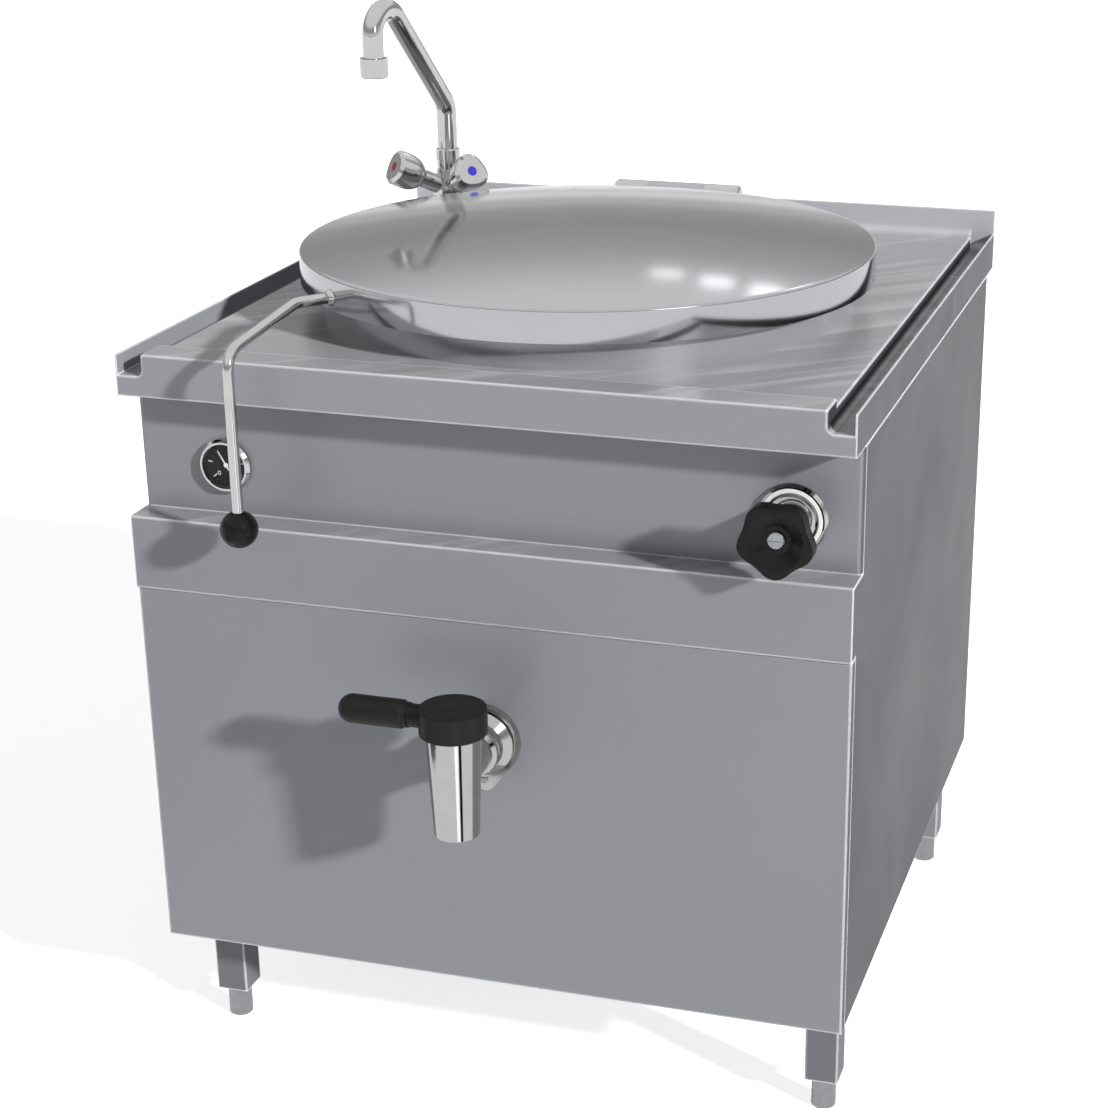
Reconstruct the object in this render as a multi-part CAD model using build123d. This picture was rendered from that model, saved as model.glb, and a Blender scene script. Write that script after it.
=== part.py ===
from build123d import *
from math import cos, radians, sin, sqrt, tan
import os

# Steam jacketed kettle on a square cabinet: round hinged lid, drain cock, steam valve and mixer tap.
#
# Millimetres. Inside the functions x is across from the middle, y runs back from the front edge of
# the worktop and z is up from the floor. Each written piece is moved so that the origin lies on the
# floor in the middle of the outline.

# ---- cabinet ----
unit_width = 800.0
worktop_height = 850.0
body_bottom = 150.0        # lower edge of the cabinet above the floor
sheet = 1.5                # cabinet panels
bend = 2.0                 # outer radius of a folded edge
flange_depth = 16.0        # folded edge of a tray shaped panel
rear_overhang = 44.0       # worktop behind the cabinet's back
panel_setback = 8.0        # face of the lower front panel behind the worktop's front edge
band_setback = 4.0         # face of the ledge band
band_height = 83.0
control_height = 136.0     # recessed control panel, from the ledge to the worktop's apron
control_setback = 42.0
control_bend = 5.0         # rounded upright edges of the control panel
control_return = 9.0       # side return of the control panel

# ---- worktop ----
top_sheet = 2.0
apron_height = 47.0
plate_drop = 8.0           # the plate lies this much under the front strip
strip_depth = 42.0
channel_width = 30.0
channel_depth = 24.0       # under the front strip
channel_bend = 7.0
side_upstand_drop = 2.0    # the side upstand ends this much under the front strip
rear_upstand = 28.0        # above the front strip
rear_cove = 12.0
apron_return = 18.0
top_edge_bend = 2.5

# ---- legs and feet ----
leg_side = 38.0
leg_wall = 2.0
leg_inset = 17.5           # outer face of each leg from the worktop's side
front_leg_y = 80.0         # front face of the front legs
rear_leg_gap = 58.0        # rear leg to the back of the cabinet
leg_bottom = 40.0
foot_diameter = 28.0
foot_inside = 45.0         # length of the foot held in the leg
foot_guide_fit = 0.1
foot_chamfer = 2.0
leg_plug_thickness = 12.0
rail_height = 25.0
rail_wall = 2.0

# ---- kettle ----
kettle_radius = 295.0      # inside
kettle_wall = 2.5
kettle_depth = 384.0       # rim to the lowest point inside
dish_depth = 60.0
kettle_knuckle = 30.0      # rounded corner between wall and floor
rim_rise = 54.0            # rim above the worktop
rim_roll = 11.0            # width of the rolled rim
rim_bend = 5.0
collar_foot = 1.5

# ---- steam jacket ----
jacket_gap = 24.5          # steam space beside the kettle wall
jacket_wall = 3.0
jacket_floor_gap = 20.0
jacket_top_drop = 42.0     # closing ring under the worktop's plate
insulation = 12.0
wool_top_drop = 30.0       # wool ends this much under the closing ring
wool_foot = 40.0           # and this much over the lowest point of the kettle
wool_clearance = 1.7       # wool to the back of the control panel

# ---- lid and hinge ----
lid_overhang = 24.0        # lid beyond the kettle's collar
lid_clearance = 8.0        # lid's outer edge over the rim
lid_sheet = 1.5
lid_skirt_height = 36.0
lid_rise = 24.0
lid_edge_bend = 3.0
drip_ring_inset = 15.0     # inside the kettle's wall
drip_ring_drop = 22.0
hinge_gap = 40.0           # lid's edge to the hinge line
hinge_to_back = 90.0       # hinge line to the back of the worktop
hinge_drop = 22.0          # hinge line under the lid's outer edge
hinge_radius = 20.0
hinge_length = 170.0
hinge_wall = 3.0
hinge_foot_step = 4.0      # foot plate beyond the barrel
hinge_cap_length = 9.0
hinge_cap_plug = 4.0       # part of a cap that sits inside the barrel
hinge_pin_radius = 7.0
hinge_running = 0.3
knuckle_length = 74.0
spring_wire = 4.0
spring_turns = 5
arm_width = 60.0
arm_rise = 12.0            # web of the hinge arm over and under the hinge line
arm_drop = 10.0
arm_lap = 12.0             # web under the lid's edge

# ---- lid bar and ball ----
rod_diameter = 12.0
rod_angle = 230.3          # where the bar leaves the skirt, degrees round from +x
rod_reach = 41.0           # straight out from the skirt
rod_drop = 22.0            # root of the bar under the lid's outer edge
rod_turn_x = -247.0        # upright part of the bar
rod_clear = 42.0           # upright part in front of the worktop
rod_turn_drop = 41.0
rod_bend = 24.0
knob_diameter = 40.0
knob_drop = 230.0          # centre of the ball under the lid's outer edge
knob_socket = 8.0

# ---- pressure gauge ----
gauge_from_side = 100.0
gauge_drop = 81.0          # centre under the worktop's apron
gauge_radius = 30.0
gauge_case_radius = 26.0
gauge_case_depth = 34.0
gauge_wall = 1.5
gauge_stand = 8.0          # bezel in front of the panel
gauge_glass = 1.6
glass_seat = 2.0           # front of the glass behind the bezel's front
bezel_lip = 1.0            # bezel over the glass
bezel_bevel = 2.75
dial_thickness = 1.0
gauge_boss_x = -200.0
gauge_boss_radius = 9.0
gauge_pipe_depth = 52.0    # pipe behind the control panel's face
gauge_elbow = 10.0
gauge_pipe_radius = 3.0
gauge_pipe_wall = 1.0
needle_length = 18.0
needle_tail = 6.0
needle_width = 1.6
needle_tip = 0.6
needle_thickness = 0.6
needle_hub = 2.6
needle_shaft = 0.8
needle_gap = 1.4
needle_rest = 120.0        # eleven o'clock, degrees round from three o'clock

# ---- steam valve ----
valve_from_side = 73.0
valve_drop = 82.0          # centre under the worktop's apron
valve_depth = 44.0         # centre of the body behind the control panel's face
valve_body_radius = 23.0
valve_neck = 3.0           # wall of a cast neck outside its pipe
valve_arm = 32.0
bonnet_seat = 2.0
disc_radius = 11.0
disc_travel = 11.0
disc_thickness = 6.0
disc_rim = 1.0             # chamber round the disc
disc_seat = 4.0
escutcheon_radius = 38.0
escutcheon_thickness = 6.0
escutcheon_bevel = 3.0
escutcheon_groove = 6.0    # width of the groove
groove_bevel = 0.6
groove_depth = 1.0
bonnet_radius = 26.0
bonnet_shoulder = 4.0
bonnet_gap = 1.0
spindle_radius = 6.0
wheel_reach = 76.0         # front of the handwheel before the control panel
wheel_radius = 40.0
wheel_waist = 34.5
wheel_lobes = 5
wheel_thickness = 20.0
wheel_edge = 2.0
wheel_rim = 5.0            # flat rim round the dish
wheel_dish = 9.0
wheel_hub_radius = 15.0
wheel_screw_radius = 9.0
wheel_screw_height = 4.0
wheel_screw_round = 1.0
wheel_slot = 1.6

# ---- drain cock ----
drain_fall = 70.0          # cock's inlet under the lowest point of the kettle
drain_reach = 87.0         # upright axis of the cock before the front panel
drain_pipe_radius = 24.15
drain_pipe_wall = 2.6
drain_bend = 40.0
spout_top_radius = 29.5
spout_bottom_radius = 24.2
spout_rise = 45.0          # top and mouth of the spout from the inlet
spout_fall = 70.0
spout_wall = 4.5
spout_round = 1.0
plug_fall = 28.0
plug_wall = 4.0
plug_lid = 8.0
plug_clearance = 0.1
plug_stem_radius = 7.0
port_inset = 1.0           # plug's port inside the bore of the stub
stub_radius = 23.0
stub_bore = 16.0
bell_inset = 6.0           # bell of the stub inside the flange
bell_lip = 6.0
bell_round = 3.5
bell_length = 20.0
bead_height = 4.0
bead_round = 1.0
bead_step = 3.0
cap_radius = 36.0
cap_height = 29.0
cap_edge = 2.0
flange_radius = 42.0
flange_thickness = 8.0
flange_rim = 4.0
flange_bevel = 1.0
flange_ear_drop = 46.0
flange_ear_radius = 13.0
flange_screw_radius = 4.0
flange_screw_head = 3.0
flange_screw_round = 1.2
grip_radius = 15.5
grip_end = 127.0           # end of the grip from the cock's axis
grip_neck_radius = 12.5
grip_neck_end = 48.0
grip_collar = 4.0
grip_collar_step = 1.0
grip_flare = 3.0
strainer_radius = 52.0
strainer_rise = 16.0
strainer_wall = 1.5
strainer_hole = 3.0
strainer_ring_step = 12.0
strainer_rings = 3
strainer_holes = 6         # in the first ring; each next ring has as many more

# ---- steam and condensate pipes ----
steam_pipe_radius = 13.45  # three quarter inch pipe
steam_pipe_wall = 2.3
steam_boss_x = 200.0
steam_elbow = 20.0
steam_bend = 40.0
steam_run = 65.0           # level run over the cabinet's lower edge
steam_from_back = 126.0
small_pipe_radius = 10.65  # half inch pipe
small_pipe_wall = 2.3
condensate_x = 150.0
condensate_boss = 14.0
boss_radius = 17.0
trap_fall = 150.0          # middle of the trap under the lowest point of the kettle
trap_height = 60.0
trap_radius = 24.0
trap_wall = 4.0
trap_neck = 10.0
trap_shoulder = 6.0
pipe_neck = 3.0
pipe_stub = 40.0           # pipe ends under the cabinet
thread_step = 0.4          # depth of the threaded ends under the pipe's surface
thread_length = 16.0
safety_x = 170.0
safety_drop = 100.0        # relief valve under the jacket's closing ring
safety_boss = 28.0
safety_nut = 12.0
safety_step = 3.0
safety_body = 40.0
safety_waist = 4.0
safety_cap = 52.0
safety_bore = 30.0
safety_round = 2.0

# ---- mixer tap ----
tap_from_side = 75.0
tap_from_back = 70.0
tap_body_height = 79.0
tap_body_radius = 21.0
tap_body_waist = 40.0      # height at which the body starts to narrow
tap_flange_step = 5.0
tap_flange_round = 4.0
tap_neck = 12.0
tap_neck_step = 1.0
tap_socket = 20.0
tap_collar_radius = 15.8
tap_collar_height = 14.0
tap_collar_round = 1.5
tap_arm_radius = 12.0
tap_stem = 14.0
tap_stem_radius = 5.0
tap_spout_radius = 13.0
tap_spout_wall = 1.5
tap_spout_height = 288.0   # centre line of the spout at its highest, over the plate
tap_reach = 168.0
tap_arc = 30.0
tap_slope = 42.2           # sloping part of the spout from upright, degrees
tap_turn = 10.0            # the spout at rest points this far outwards from the front, degrees
aerator_radius = 17.5
aerator_length = 24.0
aerator_mouth = 10.0
aerator_round = 1.0
outlet_drop = 38.0         # arc's end to the aerator
tap_knob_radius = 25.0
tap_knob_waist = 21.5
tap_knob_length = 42.0
tap_knob_shoulder = 10.0
tap_knob_nose = 12.0
tap_knob_face = 4.0
tap_knob_reach = 78.0      # face of a knob from the tap's axis
tap_knob_rise = 75.0       # face of a knob over the plate
tap_knob_tilt = 25.0
tap_shank_radius = 16.5
tap_shank_length = 62.0
tap_nut_step = 7.0
tap_nut_height = 10.0
water_pipe_radius = 5.0
water_pipe_wall = 1.4

# ---- fits ----
seat_gap = 0.3             # between faces that meet
weld_gap = 0.05            # between round faces joined for good
spindle_fit = 0.08         # running fit of round shafts
touch = 0.01               # how close an edge lies to the place it is picked by

# ---- derived places ----
half_width = unit_width / 2
plate_height = worktop_height - plate_drop
channel_floor = worktop_height - channel_depth
upstand_top = worktop_height - side_upstand_drop
rear_top = worktop_height + rear_upstand
apron_bottom = worktop_height - apron_height
band_top = apron_bottom - control_height
band_bottom = band_top - band_height
channel_inner = half_width - channel_width
side_front = panel_setback + flange_depth
leg_outer_x = half_width - leg_inset

rim_height = worktop_height + rim_rise
kettle_floor = rim_height - kettle_depth
collar_radius = kettle_radius + rim_roll
vessel_outer = kettle_radius + kettle_wall
jacket_radius = vessel_outer + jacket_gap + jacket_wall
jacket_top = plate_height - jacket_top_drop
wool_radius = jacket_radius + seat_gap + insulation
kettle_y = control_setback + control_return + wool_clearance + wool_radius

lid_radius = collar_radius + lid_overhang
lid_edge = rim_height + lid_clearance
drip_ring_radius = kettle_radius - drip_ring_inset
hinge_y = kettle_y + lid_radius + hinge_gap
hinge_height = lid_edge - hinge_drop
unit_depth = hinge_y + hinge_to_back
cabinet_depth = unit_depth - rear_overhang
knob_height = lid_edge - knob_drop

gauge_x = gauge_from_side - half_width
gauge_height = apron_bottom - gauge_drop
gauge_pipe_y = control_setback + gauge_pipe_depth
valve_x = half_width - valve_from_side
valve_y = control_setback + valve_depth
valve_height = apron_bottom - valve_drop
wheel_front = control_setback - wheel_reach
steam_drop_y = cabinet_depth - steam_from_back
safety_height = jacket_top - safety_drop

drain_y = panel_setback - drain_reach
drain_height = kettle_floor - drain_fall
spout_top = drain_height + spout_rise
spout_bottom = drain_height - spout_fall

tap_x = tap_from_side - half_width
tap_y = unit_depth - tap_from_back
tap_body_top = plate_height + tap_body_height

origin_y = (unit_depth + drain_y - cap_radius) / 2


def place(shape):
    """Moves a shape from the working frame to the written frame."""
    return shape.moved(Location((0, -origin_y, 0)))


def write(node, shape):
    """Writes one piece, or one group of like pieces, as parts/NODE.step."""
    moved = place(shape)
    moved.label = node
    export_step(moved, f"parts/{node}.step")


def block(x0, x1, y0, y1, z0, z1):
    """A straight block between two corners."""
    size = Box(x1 - x0, y1 - y0, z1 - z0, align=(Align.MIN, Align.MIN, Align.MIN))
    return size.moved(Location((x0, y0, z0)))


def rod(radius, start, end):
    """A round bar from one point to another."""
    line = Vector(*end) - Vector(*start)
    base = Plane(origin=start, z_dir=line)
    return base * Cylinder(radius, line.length, align=(Align.CENTER, Align.CENTER, Align.MIN))


def tube(radius, wall, start, end):
    """A round tube from one point to another."""
    return rod(radius, start, end) - rod(radius - wall, start, end)


def spun(points, base):
    """Turns a closed (radius, height) outline about the base plane's own axis."""
    line = Polyline(*[(r, 0, h) for r, h in points], close=True)
    return base * revolve(make_face(line), Axis.Z, 360)


def upright(x, y, z=0.0):
    """A base plane with its axis straight up."""
    return Plane(origin=(x, y, z))


def facing_front(x, y, z):
    """A base plane whose axis points to the front."""
    return Plane(origin=(x, y, z), x_dir=(1, 0, 0), z_dir=(0, -1, 0))


def bent_tube(points, radii, radius, wall):
    """A tube along straight runs joined by arcs."""
    path = FilletPolyline(*points, radius=radii) if len(points) > 2 else Line(*points)
    start = Plane(origin=path @ 0, z_dir=path % 0)
    outer = sweep(start * Circle(radius), path)
    if wall is None:
        return outer
    return outer - sweep(start * Circle(radius - wall), path)


def tray(outline, depth, side):
    """A panel in the y-z plane with all its edges folded inwards; side is +1 right or -1 left."""
    face = make_face(Polyline(*outline, close=True))
    body = extrude(Plane.YZ * face, depth)
    inner = offset(face, -sheet, kind=Kind.INTERSECTION)
    body -= extrude(Plane.YZ * inner, depth).moved(Location((sheet, 0, 0)))
    outer_edges = body.faces().sort_by(Axis.X)[0].edges()
    body = fillet(outer_edges, bend / 2)
    turned = body.moved(Location((-half_width, 0, 0)))
    return turned if side < 0 else mirror(turned, Plane.YZ)


def round_hole(x, y, radius):
    """A cutter straight down through the whole height."""
    return rod(radius, (x, y, 0), (x, y, rear_top + rear_upstand))


def top_line(height, drop=0.0):
    """Section line of the worktop's upper face, or of its lower face when dropped by the sheet."""
    wall = channel_inner - drop
    points = [
        (-half_width + top_sheet, 0, channel_floor - drop),
        (-wall, 0, channel_floor - drop),
        (-wall, 0, height - drop),
        (wall, 0, height - drop),
        (wall, 0, channel_floor - drop),
        (half_width - top_sheet, 0, channel_floor - drop),
    ]
    low, high = channel_bend + drop, top_edge_bend - drop
    return FilletPolyline(*points, radius=[low, high, high, low])


def top_deck(height, start, end):
    """The folded deck with its two side channels, between two depths."""
    upper, lower = top_line(height), top_line(height, top_sheet)
    ends = [Line(upper @ 1, lower @ 1), Line(lower @ 0, upper @ 0)]
    face = make_face([upper, ends[0], lower, ends[1]])
    return extrude(face, end - start, dir=(0, 1, 0)).moved(Location((0, start, 0)))


def top_front(start, end):
    """The upright front sheet, notched at both channels."""
    upper = top_line(worktop_height)
    inner = half_width - top_sheet
    border = Polyline(
        upper @ 1, (inner, 0, upstand_top), (half_width, 0, upstand_top),
        (half_width, 0, apron_bottom), (-half_width, 0, apron_bottom),
        (-half_width, 0, upstand_top), (-inner, 0, upstand_top), upper @ 0,
    )
    face = make_face([upper, border])
    return extrude(face, end - start, dir=(0, 1, 0)).moved(Location((0, start, 0)))


def cove(floor, start_x, end_x):
    """The hollow rounded corner at the foot of the rear upstand."""
    back = unit_depth - top_sheet
    front = back - rear_cove
    arc = CenterArc((front, floor + rear_cove), rear_cove, -90, 90)
    face = make_face([arc, Line(arc @ 1, (back, floor)), Line((back, floor), arc @ 0)])
    return extrude(Plane.YZ * face, end_x - start_x).moved(Location((start_x, 0, 0)))


def worktop():
    """One folded sheet: front strip, lowered plate, side channels, aprons and rear upstand."""
    back = unit_depth - top_sheet
    inner = half_width - top_sheet
    body = top_deck(worktop_height, 0, strip_depth) + top_deck(plate_height, strip_depth, back)
    body += top_front(0, top_sheet)
    riser = top_front(strip_depth - top_sheet, strip_depth)
    under_plate = plate_height - top_sheet
    body += riser & block(-half_width, half_width, 0, strip_depth, under_plate, worktop_height)
    body += block(-half_width, half_width, back, unit_depth, apron_bottom, rear_top)
    for side in (-1, 1):
        outer, wall = sorted((side * half_width, side * inner))
        body += block(outer, wall, 0, unit_depth, apron_bottom, upstand_top)
        edge, lip = sorted((side * half_width, side * (half_width - apron_return)))
        body += block(edge, lip, 0, unit_depth, apron_bottom, apron_bottom + top_sheet)
        low, high = sorted((side * inner, side * channel_inner))
        body += cove(channel_floor, low, high)
    body += cove(plate_height, -channel_inner, channel_inner)
    body += block(-half_width, half_width, 0, apron_return, apron_bottom, apron_bottom + top_sheet)
    front_edges = body.edges().filter_by_position(Axis.Y, -touch, touch)
    top_edge = front_edges.filter_by(Axis.X).sort_by(Axis.Z)[-1]
    low_edge = front_edges.filter_by(Axis.X).sort_by(Axis.Z)[0]
    body = fillet([top_edge, low_edge], bend)
    body -= round_hole(0, kettle_y, (vessel_outer + collar_radius) / 2 - collar_foot)
    body -= round_hole(tap_x, tap_y, tap_shank_radius + seat_gap)
    return body


def side_panel(side):
    """Side wall of the cabinet, stepped forward behind the ledge band."""
    step_back = control_setback + control_return
    outline = [
        (side_front, body_bottom), (side_front, band_bottom + sheet),
        (band_setback + sheet, band_bottom + sheet), (band_setback + sheet, band_top - sheet),
        (step_back, band_top - sheet), (step_back, apron_bottom),
        (cabinet_depth, apron_bottom), (cabinet_depth, body_bottom),
    ]
    return tray(outline, flange_depth, side)


def rear_panel():
    """Plain sheet held behind the rear folds of the side panels."""
    edge = half_width - sheet - seat_gap
    back = cabinet_depth - sheet
    shoulder = apron_bottom - sheet
    panel = block(-edge, edge, back - sheet, back, body_bottom + sheet, shoulder)
    inner = channel_inner - 2 * top_sheet
    return panel + block(-inner, inner, back - sheet, back, shoulder, plate_height - top_sheet)


def floor_panel():
    """Bottom sheet on the lower folds of the side panels, with a hole for each pipe."""
    edge = half_width - sheet - seat_gap
    front = side_front + sheet
    back = cabinet_depth - 2 * sheet
    low = body_bottom + sheet
    plate = block(-edge, edge, front, back, low, low + sheet)
    for x, y, radius in pipe_outlets():
        plate -= round_hole(x, y, radius + seat_gap)
    return plate


def control_panel():
    """Recessed upright panel with rounded side edges and the holes for gauge and valve."""
    back = control_setback + control_return

    def line(inset):
        edge = half_width - inset
        face_y = control_setback + inset
        points = [(-edge, back), (-edge, face_y), (edge, face_y), (edge, back)]
        return FilletPolyline(*points, radius=control_bend - inset)

    outer, inner = line(0), line(sheet)
    face = make_face([outer, Line(outer @ 1, inner @ 1), inner, Line(inner @ 0, outer @ 0)])
    panel = extrude(face, apron_bottom - band_top).moved(Location((0, 0, band_top)))
    inner = channel_inner - 2 * top_sheet
    rear = control_setback + sheet
    panel += block(-inner, inner, control_setback, rear, apron_bottom, plate_height - top_sheet)
    deep = control_setback + gauge_case_depth
    panel -= rod(gauge_case_radius + seat_gap, (gauge_x, 0, gauge_height), (gauge_x, deep, gauge_height))
    panel -= rod(bonnet_radius + seat_gap, (valve_x, 0, valve_height), (valve_x, deep, valve_height))
    return panel


def ledge_band():
    """Projecting band with a flat shelf on top, folded from one sheet."""
    back = control_setback + control_return
    front = band_setback
    band = block(-half_width, half_width, front, front + sheet, band_bottom, band_top)
    band += block(-half_width, half_width, front, back, band_top - sheet, band_top)
    band += block(-half_width, half_width, front, front + flange_depth, band_bottom, band_bottom + sheet)
    edges = band.edges().filter_by(Axis.X).filter_by_position(Axis.Y, front - touch, front + touch)
    return fillet(edges, bend)


def front_panel():
    """Lower front, a shallow tray with the hole for the drain pipe."""
    top = band_bottom - seat_gap
    back = side_front
    body = block(-half_width, half_width, panel_setback, back, body_bottom, top)
    inner = half_width - sheet
    body -= block(-inner, inner, panel_setback + sheet, back, body_bottom + sheet, top - sheet)
    body = fillet(body.faces().sort_by(Axis.Y)[0].edges(), bend)
    hole = rod(drain_pipe_radius + seat_gap, (0, 0, drain_height), (0, side_front, drain_height))
    return body - hole


def leg_centres():
    """Centre of each leg, keyed by its place."""
    x = leg_outer_x - leg_side / 2
    front = front_leg_y + leg_side / 2
    rear = cabinet_depth - rear_leg_gap - leg_side / 2
    return {
        "front_left": (-x, front), "front_right": (x, front),
        "rear_left": (-x, rear), "rear_right": (x, rear),
    }


def base_frame():
    """Welded frame of flat tube standing on the floor sheet over the legs."""
    low = body_bottom + 2 * sheet
    high = low + rail_height
    half = leg_outer_x
    front, back = side_front + 2 * sheet, cabinet_depth - 3 * sheet
    centres = leg_centres()

    def rails(inset):
        grown = None
        for side in (-1, 1):
            near, far = sorted((side * (half - leg_side + inset), side * (half - inset)))
            rail = block(near, far, front + inset, back - inset, low + inset, high - inset)
            grown = rail if grown is None else grown + rail
        for place_name in ("front_left", "rear_left"):
            middle = centres[place_name][1]
            near, far = middle - leg_side / 2 + inset, middle + leg_side / 2 - inset
            grown += block(-half + inset, half - inset, near, far, low + inset, high - inset)
        return grown

    return rails(0) - rails(rail_wall)


def leg(centre):
    """Square tube closed at the foot by a bored plug."""
    x, y = centre
    top = body_bottom + sheet
    outer = extrude(fillet(Rectangle(leg_side, leg_side).vertices(), bend), top - leg_bottom)
    hollow = Rectangle(leg_side - 2 * leg_wall, leg_side - 2 * leg_wall)
    inner = extrude(hollow, top - leg_bottom - leg_plug_thickness)
    body = outer - inner.moved(Location((0, 0, leg_plug_thickness)))
    body = body.moved(Location((x, y, leg_bottom)))
    return body - round_hole(x, y, foot_diameter / 2 + foot_guide_fit)


def foot(centre):
    """Round levelling foot, guided in the leg's plug."""
    x, y = centre
    length = leg_bottom + foot_inside
    body = Cylinder(foot_diameter / 2, length, align=(Align.CENTER, Align.CENTER, Align.MIN))
    body = chamfer(body.faces().sort_by(Axis.Z)[0].edges(), foot_chamfer)
    return body.moved(Location((x, y, 0)))


def dish_height(radius, drop=0.0):
    """Height of a dished bottom at a radius; drop is its distance under the kettle's inner face."""
    ball = (kettle_radius ** 2 + dish_depth ** 2) / (2 * dish_depth)
    return kettle_floor + ball - sqrt((ball + drop) ** 2 - radius ** 2)


def dish_arc(near, far, drop):
    """Arc of a dished bottom between two radii."""
    middle = (near + far) / 2
    return ThreePointArc(*[(r, 0, dish_height(r, drop)) for r in (near, middle, far)])


def kettle_vessel():
    """Inner pot with dished floor, drain stub and rim rolled out and down to the worktop."""
    bore = drain_pipe_radius - drain_pipe_wall
    stub_end = drain_height + drain_bend + seat_gap
    inner = dish_arc(bore, kettle_radius, 0)
    outer = dish_arc(vessel_outer, drain_pipe_radius, kettle_wall)
    collar_in, under_rim = collar_radius - kettle_wall, rim_height - kettle_wall
    rim = Polyline(
        inner @ 1, (kettle_radius, 0, rim_height), (collar_radius, 0, rim_height),
        (collar_radius, 0, plate_height), (collar_in, 0, plate_height), (collar_in, 0, under_rim),
        (vessel_outer, 0, under_rim), outer @ 0,
    )
    stub = Polyline(outer @ 1, (drain_pipe_radius, 0, stub_end), (bore, 0, stub_end), inner @ 0)
    pot = revolve(make_face([inner, rim, outer, stub]), Axis.Z, 360)
    for radius, wall in ((kettle_radius, 0), (vessel_outer, kettle_wall)):
        rims = pot.edges().filter_by(GeomType.CIRCLE)
        corner = rims.filter_by(lambda e: abs(e.radius - radius) < touch).sort_by(Axis.Z)[0]
        pot = fillet(corner, kettle_knuckle + wall)
    rims = pot.edges().filter_by(GeomType.CIRCLE)
    pot = fillet(rims.filter_by_position(Axis.Z, rim_height - touch, rim_height + touch), rim_bend)
    return pot.moved(Location((0, kettle_y, 0)))


def jacket_front(x):
    """Depth of the jacket's front surface behind the worktop's front edge, beside the middle."""
    return kettle_y - sqrt(jacket_radius ** 2 - x ** 2)


def pipe_outlets():
    """Pipes that leave through the floor sheet: x, y and outer radius of each."""
    water = tap_shank_radius / 2
    return [
        (valve_x, steam_drop_y, steam_pipe_radius),
        (condensate_x, kettle_y, small_pipe_radius),
        (tap_x - water, tap_y, water_pipe_radius),
        (tap_x + water, tap_y, water_pipe_radius),
    ]


def jacket_bosses():
    """Start and end of each threaded boss on the jacket, with its radius and bore."""
    inside = jacket_wall + jacket_gap / 2
    front = valve_y + steam_elbow
    gauge_start = jacket_front(gauge_boss_x) + inside
    rear_face = 2 * kettle_y - jacket_front(safety_x) + safety_boss
    low = dish_height(condensate_x, kettle_wall + jacket_floor_gap + jacket_wall)
    steam_start = jacket_front(steam_boss_x) + inside
    rear_start = rear_face - safety_boss - inside
    gauge_end = gauge_pipe_y + gauge_elbow
    low_end = low - condensate_boss
    return {
        "steam": ((steam_boss_x, steam_start, valve_height), (steam_boss_x, front, valve_height),
                  boss_radius, steam_pipe_radius - steam_pipe_wall),
        "gauge": ((gauge_boss_x, gauge_start, gauge_height), (gauge_boss_x, gauge_end, gauge_height),
                  gauge_boss_radius, gauge_pipe_radius - gauge_pipe_wall),
        "safety": ((safety_x, rear_start, safety_height), (safety_x, rear_face, safety_height),
                   boss_radius, small_pipe_radius - small_pipe_wall),
        "condensate": ((condensate_x, kettle_y, low + inside), (condensate_x, kettle_y, low_end),
                       boss_radius, small_pipe_radius - small_pipe_wall),
    }


def steam_jacket():
    """Outer shell round the lower pot, closed by a ring on top and dished like the pot below."""
    depth = kettle_wall + jacket_floor_gap
    inner_radius = jacket_radius - jacket_wall
    stub = drain_pipe_radius + weld_gap
    wall = vessel_outer + weld_gap
    inner = dish_arc(stub, inner_radius, depth)
    outer = dish_arc(jacket_radius, stub, depth + jacket_wall)
    under_ring = jacket_top - jacket_wall
    ring = Polyline(
        inner @ 1, (inner_radius, 0, under_ring), (wall, 0, under_ring),
        (wall, 0, jacket_top), (jacket_radius, 0, jacket_top), outer @ 0,
    )
    shell = revolve(make_face([inner, ring, outer, Line(outer @ 1, inner @ 0)]), Axis.Z, 360)
    shell = shell.moved(Location((0, kettle_y, 0)))
    space = Polyline(
        inner @ 1, (inner_radius, 0, jacket_top), (0, 0, jacket_top), (0, 0, dish_height(0, depth)),
        inner @ 0,
    )
    chamber = revolve(make_face([inner, space]), Axis.Z, 360).moved(Location((0, kettle_y, 0)))
    for start, end, radius, bore in jacket_bosses().values():
        shell += rod(radius, start, end) - chamber
        shell -= rod(bore, start, end)
    return shell


def jacket_insulation():
    """Mineral wool sleeve round the jacket, cut out round the bosses."""
    low, high = kettle_floor + wool_foot, jacket_top - wool_top_drop
    sleeve = tube(wool_radius, insulation, (0, kettle_y, low), (0, kettle_y, high))
    for name, (start, end, radius, bore) in jacket_bosses().items():
        if name != "condensate":
            sleeve -= rod(radius + seat_gap, start, end)
    return sleeve


def drain_pipe():
    """Elbow from the pot's drain stub to the cock on the front panel."""
    top = drain_height + drain_bend + seat_gap
    points = [(0, kettle_y, top), (0, kettle_y, drain_height), (0, panel_setback, drain_height)]
    return bent_tube(points, drain_bend, drain_pipe_radius, drain_pipe_wall)


def drain_strainer():
    """Perforated dome that lies over the drain inside the pot."""
    rise, radius, wall = strainer_rise, strainer_radius, strainer_wall
    base = dish_height(radius) + seat_gap
    ball = (radius ** 2 + rise ** 2) / (2 * rise)
    centre = base + rise - ball
    dome = Sphere(ball) - Sphere(ball - wall)
    dome = dome.moved(Location((0, kettle_y, centre)))
    dome &= rod(radius, (0, kettle_y, base), (0, kettle_y, base + rise))
    for ring in range(1, strainer_rings + 1):
        count = strainer_holes * ring
        for step in range(count):
            angle = radians(360 * step / count)
            x = ring * strainer_ring_step * cos(angle)
            y = kettle_y + ring * strainer_ring_step * sin(angle)
            dome -= rod(strainer_hole, (x, y, base), (x, y, base + rise + wall))
    return dome


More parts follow.
